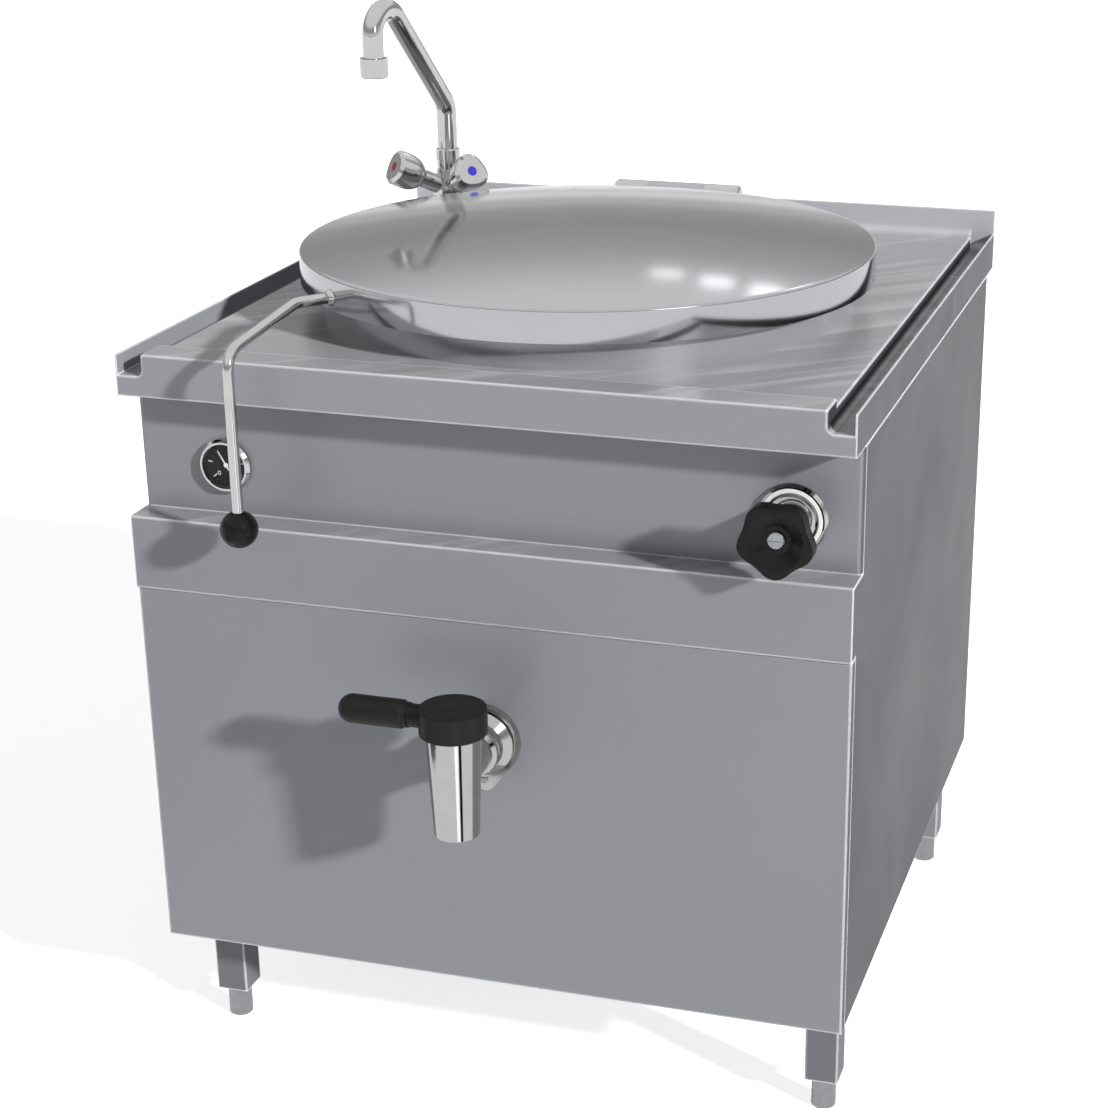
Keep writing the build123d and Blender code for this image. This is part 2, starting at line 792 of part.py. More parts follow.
def drain_flange():
    """Round seat on the front panel with a raised rim and one ear below for its screw."""
    disc = Circle(flange_radius)
    ear = Circle(flange_ear_radius).moved(Location((0, -flange_ear_drop)))
    outline = make_face(make_hull(disc.edges() + ear.edges()))
    face = facing_front(0, panel_setback, drain_height)
    half = flange_thickness / 2
    plate = extrude(face * outline, half)
    land = flange_radius - flange_rim
    rim = spun([(land, half), (flange_radius, half), (flange_radius - flange_bevel, flange_thickness),
                (land, flange_thickness)], face)
    front = panel_setback - flange_thickness
    bore = rod(stub_bore, (0, panel_setback, drain_height), (0, front, drain_height))
    screw_height = drain_height - flange_ear_drop
    screw = rod(flange_screw_radius / 2 + weld_gap, (0, 0, screw_height), (0, panel_setback, screw_height))
    return plate + rim - bore - screw


def drain_flange_screw():
    """Pan head screw through the flange's ear."""
    base = facing_front(0, panel_setback, drain_height - flange_ear_drop)
    half = flange_thickness / 2
    shank = flange_screw_radius / 2
    top = half + flange_screw_head
    outline = [(0, 0), (shank, 0), (shank, half), (flange_screw_radius, half),
               (flange_screw_radius, top - flange_screw_round),
               (flange_screw_radius - flange_screw_round, top), (0, top)]
    return spun(outline, base)


def spout_radius(height, inset=0.0):
    """Radius of the tapered spout at a height."""
    share = (height - spout_bottom) / (spout_top - spout_bottom)
    return spout_bottom_radius + share * (spout_top_radius - spout_bottom_radius) - inset


def drain_valve_body():
    """Cast cock body: tapered upright spout with a flanged stub to the panel."""
    spout = spun(
        [(0, spout_bottom), (spout_bottom_radius, spout_bottom), (spout_top_radius, spout_top),
         (0, spout_top)],
        upright(0, drain_y),
    )
    spout = fillet(spout.edges().filter_by(GeomType.CIRCLE), spout_round)
    face = panel_setback - flange_thickness / 2
    base = facing_front(0, face, drain_height)
    reach = face - drain_y
    bell, throat = flange_radius - bell_inset, stub_radius + bead_height
    bead, step = throat + bead_round, bell_length + bead_step
    outline = [
        (0, 0), (bell, 0), (bell, bell_lip), (bell - bell_round, bell_lip + bell_round),
        (bead, bell_length - bell_lip), (throat, bell_length), (bead, step),
        (bead, step + bead_height), (throat, step + bead_height + bead_step),
        (stub_radius, step + bead_height + 2 * bead_step), (stub_radius, reach), (0, reach),
    ]
    body = spout + spun(outline, base)
    taper = spun(
        [(0, spout_bottom), (spout_radius(spout_bottom, spout_wall), spout_bottom),
         (spout_radius(spout_top, spout_wall), spout_top), (0, spout_top)],
        upright(0, drain_y),
    )
    body -= taper
    return body - rod(stub_bore, (0, face, drain_height), (0, drain_y, drain_height))


def drain_plug():
    """Hollow tapered plug with one side port, turned a quarter to open."""
    top = spout_top + seat_gap
    inset = spout_wall + plug_clearance
    hollow = inset + plug_wall
    low, ceiling = drain_height - plug_fall, top - plug_lid
    outline = [
        (0, top), (spout_radius(top, inset), top), (spout_radius(low, inset), low),
        (spout_radius(low, hollow), low), (spout_radius(ceiling, hollow), ceiling), (0, ceiling),
    ]
    plug = spun(outline, upright(0, drain_y))
    port_radius = stub_bore - port_inset
    port = rod(port_radius, (0, drain_y, drain_height), (spout_top_radius, drain_y, drain_height))
    stem = rod(plug_stem_radius, (0, drain_y, top), (0, drain_y, top + cap_height / 2))
    return plug - port + stem


def drain_cap():
    """Round black cap on the plug with a neck for the grip."""
    low = spout_top + seat_gap
    cap = Cylinder(cap_radius, cap_height, align=(Align.CENTER, Align.CENTER, Align.MIN))
    cap = cap.moved(Location((0, drain_y, low)))
    grip_height = low + cap_height / 2
    neck = rod(grip_neck_radius, (0, drain_y, grip_height), (-grip_neck_end, drain_y, grip_height))
    rims = cap.edges().filter_by(GeomType.CIRCLE)
    cap = fillet(rims, cap_edge) + neck
    stem_top = grip_height + seat_gap
    stem = rod(plug_stem_radius + weld_gap, (0, drain_y, low), (0, drain_y, stem_top))
    return cap - stem


def drain_handle():
    """Round ended grip screwed to the cap's neck."""
    height = spout_top + seat_gap + cap_height / 2
    base = Plane(origin=(0, drain_y, height), x_dir=(0, 1, 0), z_dir=(-1, 0, 0))
    start, collar = grip_neck_end, grip_neck_end + grip_collar
    step_radius = grip_neck_radius + grip_collar_step
    border = Polyline(
        (0, 0, start), (step_radius, 0, start), (step_radius, 0, collar),
        (grip_radius, 0, collar + grip_flare), (grip_radius, 0, grip_end - grip_radius),
    )
    diagonal = grip_radius * sin(radians(45))
    tip = ThreePointArc(border @ 1, (diagonal, 0, grip_end - grip_radius + diagonal), (0, 0, grip_end))
    outline = make_face([border, tip, Line(tip @ 1, border @ 0)])
    return base * revolve(outline, Axis.Z, 360)


def steam_valve_body():
    """Globe valve: body, inlet from below, outlet to the side and bonnet neck to the front."""
    centre = (valve_x, valve_y, valve_height)
    neck = steam_pipe_radius + valve_neck
    low = valve_height - valve_arm
    side = valve_x - valve_arm

    def on_axis(depth):
        return (valve_x, depth, valve_height)

    panel_back = control_setback + sheet
    chamber_back = valve_y + disc_travel
    seat = chamber_back + disc_seat
    passage = (steam_pipe_radius - steam_pipe_wall) / 2
    body = Sphere(valve_body_radius).moved(Location(centre))
    body += rod(neck, centre, (valve_x, valve_y, low)) + rod(neck, centre, (side, valve_y, valve_height))
    body += rod(neck + bonnet_seat, centre, on_axis(panel_back))
    body -= rod(disc_radius + disc_rim, on_axis(panel_back), on_axis(chamber_back))
    body -= rod(passage, on_axis(chamber_back), on_axis(seat))
    body -= rod(passage, on_axis(seat), (valve_x, seat, low))
    return body - rod(passage, centre, (side, valve_y, valve_height))


def valve_disc():
    """Closing disc that travels along the spindle."""
    back = valve_y + disc_travel - seat_gap
    front = back - disc_thickness
    near, far = (valve_x, front, valve_height), (valve_x, back, valve_height)
    return rod(disc_radius, near, far) - rod(spindle_radius + weld_gap, near, far)


def valve_spindle():
    """Round spindle from the handwheel through the bonnet into the disc."""
    front = wheel_front + wheel_dish
    back = valve_y + disc_travel - seat_gap
    return rod(spindle_radius, (valve_x, front, valve_height), (valve_x, back, valve_height))


def valve_escutcheon():
    """Stepped ring on the control panel round the bonnet."""
    base = facing_front(valve_x, control_setback, valve_height)
    bore = bonnet_radius + seat_gap
    outer, thick = escutcheon_radius, escutcheon_thickness
    far = outer - escutcheon_bevel - groove_depth
    near, floor = far - escutcheon_groove, thick - groove_depth
    outline = [
        (bore, 0), (outer, 0), (outer, thick / 3), (outer - escutcheon_bevel, thick), (far, thick),
        (far - groove_bevel, floor), (near + groove_bevel, floor), (near, thick), (bore, thick),
    ]
    return spun(outline, base)


def valve_bonnet():
    """Domed bonnet in front of the panel, screwed to the valve behind it."""
    base = facing_front(valve_x, control_setback, valve_height)
    bore = spindle_radius + spindle_fit
    front = control_setback - (wheel_front + wheel_thickness) - bonnet_gap
    shoulder = escutcheon_thickness + bonnet_shoulder
    border = Polyline((bore, 0, -sheet), (bonnet_radius, 0, -sheet), (bonnet_radius, 0, shoulder))
    dome = Spline(
        (bonnet_radius, 0, shoulder), (bonnet_radius - bonnet_shoulder, 0, front * 0.6),
        (wheel_hub_radius - bonnet_shoulder / 2, 0, front), tangents=[(-0.3, 0, 1), (-1, 0, 0.6)],
    )
    end = Polyline(dome @ 1, (bore, 0, front), (bore, 0, -sheet))
    return base * revolve(make_face([border, dome, end]), Axis.Z, 360)


def handwheel():
    """Lobed handwheel with a dished face and a hub behind."""
    base = facing_front(valve_x, wheel_front + wheel_thickness, valve_height)
    mean, swing = (wheel_radius + wheel_waist) / 2, (wheel_radius - wheel_waist) / 2
    steps = 8 * wheel_lobes
    points = []
    for step in range(steps):
        angle = radians(360 * step / steps)
        reach = mean + swing * cos(wheel_lobes * (angle + radians(90)))
        points.append((reach * cos(angle), reach * sin(angle)))
    outline = make_face(Spline(*points, periodic=True))
    wheel = extrude(outline, wheel_thickness)
    rims = wheel.faces().sort_by(Axis.Z)
    wheel = fillet(rims[0].edges() + rims[-1].edges(), wheel_edge)
    inner = wheel_waist - wheel_rim
    dish = spun(
        [(0, wheel_thickness - wheel_dish), (wheel_hub_radius, wheel_thickness - wheel_dish),
         (inner, wheel_thickness), (0, wheel_thickness)],
        Plane.XY,
    )
    wheel -= dish
    wheel -= Cylinder(spindle_radius + weld_gap, 4 * wheel_thickness)
    return base * wheel


def handwheel_screw():
    """Slotted screw that holds the handwheel on the spindle."""
    face = wheel_front + wheel_dish
    base = facing_front(valve_x, face, valve_height)
    thick = wheel_screw_height
    round_over = wheel_screw_round
    head = spun([(0, 0), (wheel_screw_radius, 0), (wheel_screw_radius, thick - round_over),
                 (wheel_screw_radius - round_over, thick), (0, thick)], base)
    half = wheel_slot / 2
    left, right = valve_x - wheel_screw_radius, valve_x + wheel_screw_radius
    front = face - thick
    slot = block(left, right, front, front + half, valve_height - half, valve_height + half)
    return head - slot


def threaded_end(pipe, x, y, radius):
    """Turns the lower end of an upright pipe down to its thread."""
    low = body_bottom - pipe_stub
    collar = tube(radius + seat_gap, seat_gap + thread_step, (x, y, low), (x, y, low + thread_length))
    return pipe - collar


def steam_pipes():
    """The supply pipe to the valve and the elbow from the valve to the jacket."""
    supply = threaded_end(steam_supply_pipe(), valve_x, steam_drop_y, steam_pipe_radius)
    return Compound(children=[supply, steam_feed_pipe()])


def steam_supply_pipe():
    """Steam pipe from under the cabinet's back to the valve."""
    start, level = valve_height - valve_arm, body_bottom + steam_run
    points = [(valve_x, valve_y, start), (valve_x, valve_y, level), (valve_x, steam_drop_y, level),
              (valve_x, steam_drop_y, body_bottom - pipe_stub)]
    return bent_tube(points, steam_bend, steam_pipe_radius, steam_pipe_wall)


def steam_feed_pipe():
    """Short elbow from the valve to the jacket's boss."""
    points = [(valve_x - valve_arm, valve_y, valve_height), (steam_boss_x, valve_y, valve_height),
              (steam_boss_x, valve_y + steam_elbow, valve_height)]
    return bent_tube(points, 0.95 * steam_elbow, steam_pipe_radius, steam_pipe_wall)


def condensate_parts():
    """The two pipes of the condensate line and the trap between them."""
    top = jacket_bosses()["condensate"][1][2]
    middle = kettle_floor - trap_fall
    trap_low, trap_top = middle - trap_height / 2, middle + trap_height / 2
    at = (condensate_x, kettle_y)
    upper = tube(small_pipe_radius, small_pipe_wall, (*at, top), (*at, trap_top))
    lower = tube(small_pipe_radius, small_pipe_wall, (*at, trap_low), (*at, body_bottom - pipe_stub))
    lower = threaded_end(lower, *at, small_pipe_radius)
    neck = small_pipe_radius + pipe_neck
    bore = small_pipe_radius - small_pipe_wall
    outer, inner = trap_radius, trap_radius - trap_wall
    shoulder = trap_neck + trap_shoulder
    outline = [
        (bore, trap_low), (neck, trap_low), (neck, trap_low + trap_neck), (outer, trap_low + shoulder),
        (outer, trap_top - shoulder), (neck, trap_top - trap_neck), (neck, trap_top), (bore, trap_top),
        (bore, trap_top - trap_neck - trap_wall / 2), (inner, trap_top - shoulder - trap_wall),
        (inner, trap_low + shoulder + trap_wall), (bore, trap_low + trap_neck + trap_wall / 2),
    ]
    trap = spun(outline, upright(*at))
    return Compound(children=[upper, lower]), trap


def safety_valve():
    """Spring loaded relief valve on the jacket's rear boss."""
    start = jacket_bosses()["safety"][1]
    base = Plane(origin=start, x_dir=(1, 0, 0), z_dir=(0, 1, 0))
    bore = small_pipe_radius - small_pipe_wall
    barrel = boss_radius - safety_waist
    cap = barrel - safety_step
    outline = [
        (bore, 0), (boss_radius, 0), (boss_radius, safety_nut), (barrel, safety_nut + safety_step),
        (barrel, safety_body), (cap, safety_body + safety_waist), (cap, safety_cap),
        (cap - safety_round, safety_cap + safety_round), (0, safety_cap + safety_round),
        (0, safety_bore), (bore, safety_bore),
    ]
    return spun(outline, base)


def gauge_parts():
    """Case, bezel, dial, glass and movement of the pressure gauge."""
    base = facing_front(gauge_x, control_setback, gauge_height)
    radius, wall, deep = gauge_case_radius, gauge_wall, gauge_case_depth
    glass_front = gauge_stand - glass_seat
    lip = glass_front - gauge_glass
    nipple = gauge_pipe_y - control_setback - gauge_elbow
    bore = gauge_pipe_radius - gauge_pipe_wall
    case = spun([(bore, -nipple), (gauge_boss_radius, -nipple), (gauge_boss_radius, -deep),
                 (radius, -deep), (radius, lip), (radius - wall, lip), (radius - wall, wall - deep),
                 (bore, wall - deep)], base)
    over, edge = radius - bezel_lip, gauge_radius - bezel_bevel
    bezel = spun([(radius + weld_gap, 0), (gauge_radius, 0), (gauge_radius, gauge_stand - bezel_bevel),
                  (edge, gauge_stand), (over, gauge_stand), (over, glass_front),
                  (radius + weld_gap, glass_front)], base)
    glass = spun([(0, lip), (radius, lip), (radius, glass_front), (0, glass_front)], base)
    shaft = needle_shaft + spindle_fit
    dial_radius = radius - wall - weld_gap
    low = -dial_thickness
    dial = spun([(shaft, low), (dial_radius, low), (dial_radius, 0), (shaft, 0)], base)
    movement = spun([(shaft, wall - deep), (radius / 2, wall - deep), (radius / 2, low), (shaft, low)], base)
    movement -= spun([(0, wall - deep), (bore, wall - deep), (bore, bore + wall - deep),
                      (0, bore + wall - deep)], base)
    return {"gauge_case": case, "gauge_bezel": bezel, "gauge_glass": glass, "gauge_dial": dial,
            "gauge_movement": movement}


def gauge_needle():
    """Pointer on its shaft, at rest on eleven o'clock."""
    base = facing_front(gauge_x, control_setback, gauge_height)
    low = needle_gap
    shaft = Cylinder(needle_shaft, gauge_case_depth / 2, align=(Align.CENTER, Align.CENTER, Align.MAX))
    shaft = shaft.moved(Location((0, 0, low)))
    hub = Cylinder(needle_hub, needle_thickness, align=(Align.CENTER, Align.CENTER, Align.MIN))
    hub = hub.moved(Location((0, 0, low)))
    tail, tip = needle_width / 2, needle_tip / 2
    blade = make_face(Polyline((-needle_tail, -tail), (needle_length, -tip), (needle_length, tip),
                               (-needle_tail, tail), close=True))
    pointer = extrude(blade, needle_thickness).moved(Location((0, 0, low)))
    pointer = (pointer + hub + shaft).rotate(Axis.Z, needle_rest)
    return base * pointer


def gauge_tube():
    """Thin pipe from the gauge to the jacket."""
    level = gauge_height
    points = [(gauge_x, gauge_pipe_y - gauge_elbow, level), (gauge_x, gauge_pipe_y, level),
              (gauge_boss_x, gauge_pipe_y, level), (gauge_boss_x, gauge_pipe_y + gauge_elbow, level)]
    return bent_tube(points, 0.9 * gauge_elbow, gauge_pipe_radius, gauge_pipe_wall)


def dome_height(radius, drop=0.0):
    """Height of the lid's domed top at a radius."""
    ball = (lid_radius ** 2 + lid_rise ** 2) / (2 * lid_rise)
    return lid_edge + lid_rise - ball + sqrt((ball - drop) ** 2 - radius ** 2)


def dome_arc(near, far, drop):
    """Arc of the lid's top between two radii."""
    middle = (near + far) / 2
    return ThreePointArc(*[(r, 0, dome_height(r, drop)) for r in (near, middle, far)])


def lid_shell():
    """Spun lid: shallow dome with a deep skirt."""
    inside = lid_radius - lid_sheet
    low = lid_edge - lid_skirt_height
    top, under = dome_arc(0, lid_radius, 0), dome_arc(inside, 0, lid_sheet)
    skirt = Polyline(top @ 1, (lid_radius, 0, low), (inside, 0, low), under @ 0)
    lid = revolve(make_face([top, skirt, under, Line(under @ 1, top @ 0)]), Axis.Z, 360)
    rims = lid.edges().filter_by(GeomType.CIRCLE)
    outer = rims.filter_by(lambda e: abs(e.radius - lid_radius) < touch).sort_by(Axis.Z)[-1]
    lid = fillet(outer, lid_edge_bend)
    return lid.moved(Location((0, kettle_y, 0)))


def lid_drip_ring():
    """Ring under the lid that leads the condensed steam back into the pot."""
    top = dome_height(drip_ring_radius, lid_sheet)
    low = top - drip_ring_drop
    return tube(drip_ring_radius, lid_sheet, (0, kettle_y, low), (0, kettle_y, top))


def lid_hinge_arm():
    """Middle knuckle of the hinge with the web that carries the lid's skirt."""
    half = knuckle_length / 2
    barrel = rod(hinge_radius, (-half, hinge_y, hinge_height), (half, hinge_y, hinge_height))
    low, high = hinge_height - arm_drop, hinge_height + arm_rise
    start = kettle_y + lid_radius - arm_lap
    web = block(-arm_width / 2, arm_width / 2, start, hinge_y, low, high)
    skirt = rod(lid_radius + weld_gap, (0, kettle_y, low), (0, kettle_y, high))
    pin = rod(hinge_pin_radius + spindle_fit, (-half, hinge_y, hinge_height), (half, hinge_y, hinge_height))
    return barrel + (web - skirt) - pin


def hinge_housings():
    """The two outer knuckles of the hinge."""
    return Compound(children=[hinge_housing(-1), hinge_housing(1)])


def hinge_housing(side):
    """Outer knuckle with its foot on the worktop, hollow for the balance spring."""
    near, far = knuckle_length / 2 + hinge_running, hinge_length / 2 - hinge_cap_length
    start, end = side * near, side * far
    barrel = rod(hinge_radius, (start, hinge_y, hinge_height), (end, hinge_y, hinge_height))
    low, high = sorted((start, end))
    half = hinge_radius * 0.7
    wide = hinge_radius + hinge_foot_step
    pedestal = block(low, high, hinge_y - half, hinge_y + half, plate_height, hinge_height)
    foot_top = plate_height + hinge_wall
    pedestal += block(low, high, hinge_y - wide, hinge_y + wide, plate_height, foot_top)
    inner = side * (near + hinge_wall)
    bore = hinge_radius - hinge_wall
    hollow = rod(bore, (inner, hinge_y, hinge_height), (end, hinge_y, hinge_height))
    pin_hole = hinge_pin_radius + weld_gap
    pin = rod(pin_hole, (start, hinge_y, hinge_height), (inner, hinge_y, hinge_height))
    return barrel + pedestal - hollow - pin


def hinge_caps():
    """Rounded caps that close both ends of the hinge barrel."""
    caps = []
    for side in (-1, 1):
        base = Plane(origin=(side * (hinge_length / 2 - hinge_cap_length), hinge_y, hinge_height),
                     x_dir=(0, 1, 0), z_dir=(side, 0, 0))
        plug = hinge_radius - hinge_wall - seat_gap
        long = hinge_cap_length
        border = Polyline(
            (0, 0, -hinge_cap_plug), (plug, 0, -hinge_cap_plug), (plug, 0, 0), (hinge_radius, 0, 0),
            (hinge_radius, 0, long / 3),
        )
        crown = Spline(border @ 1, (hinge_radius * 0.8, 0, long * 0.85), (0, 0, long),
                       tangents=[(0, 0, 1), (-1, 0, 0)])
        caps.append(base * revolve(make_face([border, crown, Line(crown @ 1, border @ 0)]), Axis.Z, 360))
    return Compound(children=caps)


def hinge_pin():
    """Pin through all knuckles."""
    half = hinge_length / 2 - hinge_cap_length - hinge_cap_plug - seat_gap
    return rod(hinge_pin_radius, (-half, hinge_y, hinge_height), (half, hinge_y, hinge_height))


def hinge_springs():
    """Two coiled springs round the pin that balance the lid."""
    springs = []
    near = knuckle_length / 2 + hinge_running + hinge_wall + spring_wire / 2 + weld_gap
    far = hinge_length / 2 - hinge_cap_length - hinge_cap_plug - spring_wire / 2 - weld_gap
    coil = (hinge_pin_radius + hinge_radius - hinge_wall) / 2
    for side in (-1, 1):
        path = Helix((far - near) / spring_turns, far - near, coil)
        wire = Plane(origin=path @ 0, z_dir=path % 0) * Circle(spring_wire / 2)
        spring = sweep(wire, path)
        base = Plane(origin=(side * near, hinge_y, hinge_height), x_dir=(0, 1, 0), z_dir=(side, 0, 0))
        springs.append(base * spring)
    return Compound(children=springs)


def lid_handle_rod():
    """Bent bar from the lid's skirt out to the front and down to the ball."""
    out = (cos(radians(rod_angle)), sin(radians(rod_angle)))
    near = lid_radius + weld_gap
    far = near + rod_reach
    root_height = lid_edge - rod_drop
    points = [
        (out[0] * near, kettle_y + out[1] * near, root_height),
        (out[0] * far, kettle_y + out[1] * far, root_height),
        (rod_turn_x, -rod_clear, lid_edge - rod_turn_drop),
        (rod_turn_x, -rod_clear, knob_height + knob_socket),
    ]
    return bent_tube(points, rod_bend, rod_diameter / 2, None)


def lid_handle_knob():
    """Ball on the lower end of the bar."""
    ball = Sphere(knob_diameter / 2).moved(Location((rod_turn_x, -rod_clear, knob_height)))
    low, top = knob_height + knob_socket - seat_gap, knob_height + knob_diameter
    hole = rod(rod_diameter / 2 + weld_gap, (rod_turn_x, -rod_clear, low), (rod_turn_x, -rod_clear, top))
    return ball - hole


def spout_point(reach, height):
    """A point in the upright plane of the mixer's spout."""
    turn = radians(tap_turn)
    return (tap_x - reach * sin(turn), tap_y - reach * cos(turn), height)


def spout_heights():
    """Height of the lower bend, of the upper corner and of the spout's end."""
    slope = radians(tap_slope)
    arc_height = plate_height + tap_spout_height - tap_arc
    low = arc_height - ((tap_reach - tap_arc) * cos(slope) - tap_arc) / sin(slope)
    return low, low + tap_reach / tan(slope), arc_height - outlet_drop


def mixer_spout():
    """Bent spout tube that swivels in the tap's body."""
    low, high, end = spout_heights()
    points = [spout_point(0, tap_body_top - tap_socket + seat_gap), spout_point(0, low),
              spout_point(tap_reach, high), spout_point(tap_reach, end)]
    return bent_tube(points, tap_arc, tap_spout_radius, tap_spout_wall)


def mixer_aerator():
    """Sleeve with a narrower mouth on the spout's end."""
    end = spout_heights()[2]
    x, y, low = spout_point(tap_reach, end - aerator_length / 2)
    bore = tap_spout_radius + weld_gap
    half = aerator_length / 2
    outline = [(aerator_mouth, 0), (aerator_radius - aerator_round, 0), (aerator_radius, aerator_round),
               (aerator_radius, aerator_length), (bore, aerator_length), (bore, half), (aerator_mouth, half)]
    return spun(outline, upright(x, y, low))


def knob_plane(side):
    """Base plane on a valve arm: origin on the tap's axis, axis out along the arm."""
    tilt = radians(tap_knob_tilt)
    out = sin(radians(45)) * cos(tilt)
    height = plate_height + tap_knob_rise - tap_knob_reach * tan(tilt)
    across, along = (-side * out, side * out, 0), (side * out, -out, sin(tilt))
    return Plane(origin=(tap_x, tap_y, height), x_dir=across, z_dir=along)


def knob_span():
    """Start and end of a knob along its arm."""
    end = tap_knob_reach / cos(radians(tap_knob_tilt))
    return end - tap_knob_length, end


def mixer_body():
    """Chromed body with two valve arms, base flange and shank through the worktop."""
    low, top = plate_height, tap_body_top
    wide, neck = tap_body_radius + tap_flange_step, tap_collar_radius - tap_neck_step
    outline = [
        (0, low), (wide, low), (wide, low + tap_flange_step),
        (tap_body_radius, low + tap_flange_step + tap_flange_round),
        (tap_body_radius, low + tap_body_waist), (neck, top - tap_neck), (neck, top), (0, top),
    ]
    body = spun(outline, upright(tap_x, tap_y))
    start = knob_span()[0] - seat_gap
    for side in (-1, 1):
        base = knob_plane(side)
        arm = spun([(0, 0), (tap_arm_radius, 0), (tap_arm_radius, start), (0, start)], base)
        bore = spun([(0, start - tap_stem), (tap_stem_radius + spindle_fit, start - tap_stem),
                     (tap_stem_radius + spindle_fit, start), (0, start)], base)
        body = body + arm - bore
    body += rod(tap_shank_radius, (tap_x, tap_y, low), (tap_x, tap_y, low - tap_shank_length))
    socket = tap_spout_radius + spindle_fit
    return body - rod(socket, (tap_x, tap_y, top - tap_socket), (tap_x, tap_y, top))


def mixer_collar():
    """Ring nut that keeps the spout in the body."""
    bore = tap_spout_radius + spindle_fit
    low, high = tap_body_top, tap_body_top + tap_collar_height
    outline = [(bore, low), (tap_collar_radius, low), (tap_collar_radius, high - tap_collar_round),
               (tap_collar_radius - tap_collar_round, high), (bore, high)]
    return spun(outline, upright(tap_x, tap_y))


def mixer_knob(side):
    """Three sided grip with rounded flats and a domed face, on its own spindle."""
    base = knob_plane(side)
    start, end = knob_span()
    mean, swing = (tap_knob_radius + tap_knob_waist) / 2, (tap_knob_radius - tap_knob_waist) / 2

    def ring(share, height):
        points = []
        for step in range(24):
            angle = 360 * step / 24
            reach = share * (mean + swing * cos(radians(3 * angle)))
            points.append((reach * cos(radians(angle)), reach * sin(radians(angle))))
        return Plane.XY.offset(height) * make_face(Spline(*points, periodic=True))

    face = end - tap_knob_face
    skirt = loft([ring(0.62, start), ring(0.9, start + tap_knob_shoulder), ring(1.0, end - tap_knob_nose),
                  ring(0.98, face)])
    knob = skirt + loft([ring(0.98, face), ring(0.8, end)])
    stem = Cylinder(tap_stem_radius, tap_stem, align=(Align.CENTER, Align.CENTER, Align.MIN))
    knob += stem.moved(Location((0, 0, start - tap_stem + seat_gap)))
    return base * knob


def mixer_nut():
    """Backing nut under the worktop."""
    outer = extrude(RegularPolygon(tap_shank_radius + tap_nut_step, 6), tap_nut_height)
    nut = outer - Cylinder(tap_shank_radius + weld_gap, 3 * tap_nut_height)
    return nut.moved(Location((tap_x, tap_y, plate_height - top_sheet - tap_nut_height)))


def water_pipes():
    """Hot and cold supply pipes from under the cabinet to the tap's shank."""
    pipes = []
    low, high = body_bottom - pipe_stub, plate_height - tap_shank_length
    for side in (-1, 1):
        x = tap_x + side * tap_shank_radius / 2
        pipe = tube(water_pipe_radius, water_pipe_wall, (x, tap_y, low), (x, tap_y, high))
        pipes.append(threaded_end(pipe, x, tap_y, water_pipe_radius))
    return Compound(children=pipes)


def main():
    """Writes every piece of the kettle."""
    os.makedirs("parts", exist_ok=True)
    write("worktop", worktop())
    write("side_panel_left", side_panel(-1))
    write("side_panel_right", side_panel(1))
    write("rear_panel", rear_panel())
    write("floor_panel", floor_panel())
    write("control_panel", control_panel())
    write("ledge_band", ledge_band())
    write("front_panel", front_panel())
    write("base_frame", base_frame())
    write("legs", Compound(children=[leg(centre) for centre in leg_centres().values()]))
    for name, centre in leg_centres().items():
        write(f"foot_{name}", foot(centre))
    write("kettle_vessel", kettle_vessel())
    write("steam_jacket", steam_jacket())
    write("jacket_insulation", jacket_insulation())
    write("drain_pipe", drain_pipe())
    write("drain_strainer", drain_strainer())
    write("drain_flange", drain_flange())
    write("drain_flange_screw", drain_flange_screw())
    write("drain_valve_body", drain_valve_body())
    write("drain_plug", drain_plug())
    write("drain_cap", drain_cap())
    write("drain_handle", drain_handle())
    write("steam_valve_body", steam_valve_body())
    write("valve_disc", valve_disc())
    write("valve_spindle", valve_spindle())
    write("valve_escutcheon", valve_escutcheon())
    write("valve_bonnet", valve_bonnet())
    write("handwheel", handwheel())
    write("handwheel_screw", handwheel_screw())
    write("steam_pipes", steam_pipes())
    pipes, trap = condensate_parts()
    write("condensate_pipes", pipes)
    write("steam_trap", trap)
    write("safety_valve", safety_valve())
    for name, shape in gauge_parts().items():
        write(name, shape)
    write("gauge_needle", gauge_needle())
    write("gauge_tube", gauge_tube())
    write("lid_shell", lid_shell())
    write("lid_drip_ring", lid_drip_ring())
    write("lid_hinge_arm", lid_hinge_arm())
    write("hinge_housings", hinge_housings())
    write("hinge_caps", hinge_caps())
    write("hinge_pin", hinge_pin())
    write("hinge_springs", hinge_springs())
    write("lid_handle_rod", lid_handle_rod())
    write("lid_handle_knob", lid_handle_knob())
    write("mixer_body", mixer_body())
    write("mixer_collar", mixer_collar())
    write("mixer_spout", mixer_spout())
    write("mixer_aerator", mixer_aerator())
    write("hot_knob", mixer_knob(-1))
    write("cold_knob", mixer_knob(1))
    write("mixer_nut", mixer_nut())
    write("water_pipes", water_pipes())


main()
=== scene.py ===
from math import cos, pi, radians, sin, sqrt, tan

import bpy
import bmesh
from mathutils import Matrix, Vector


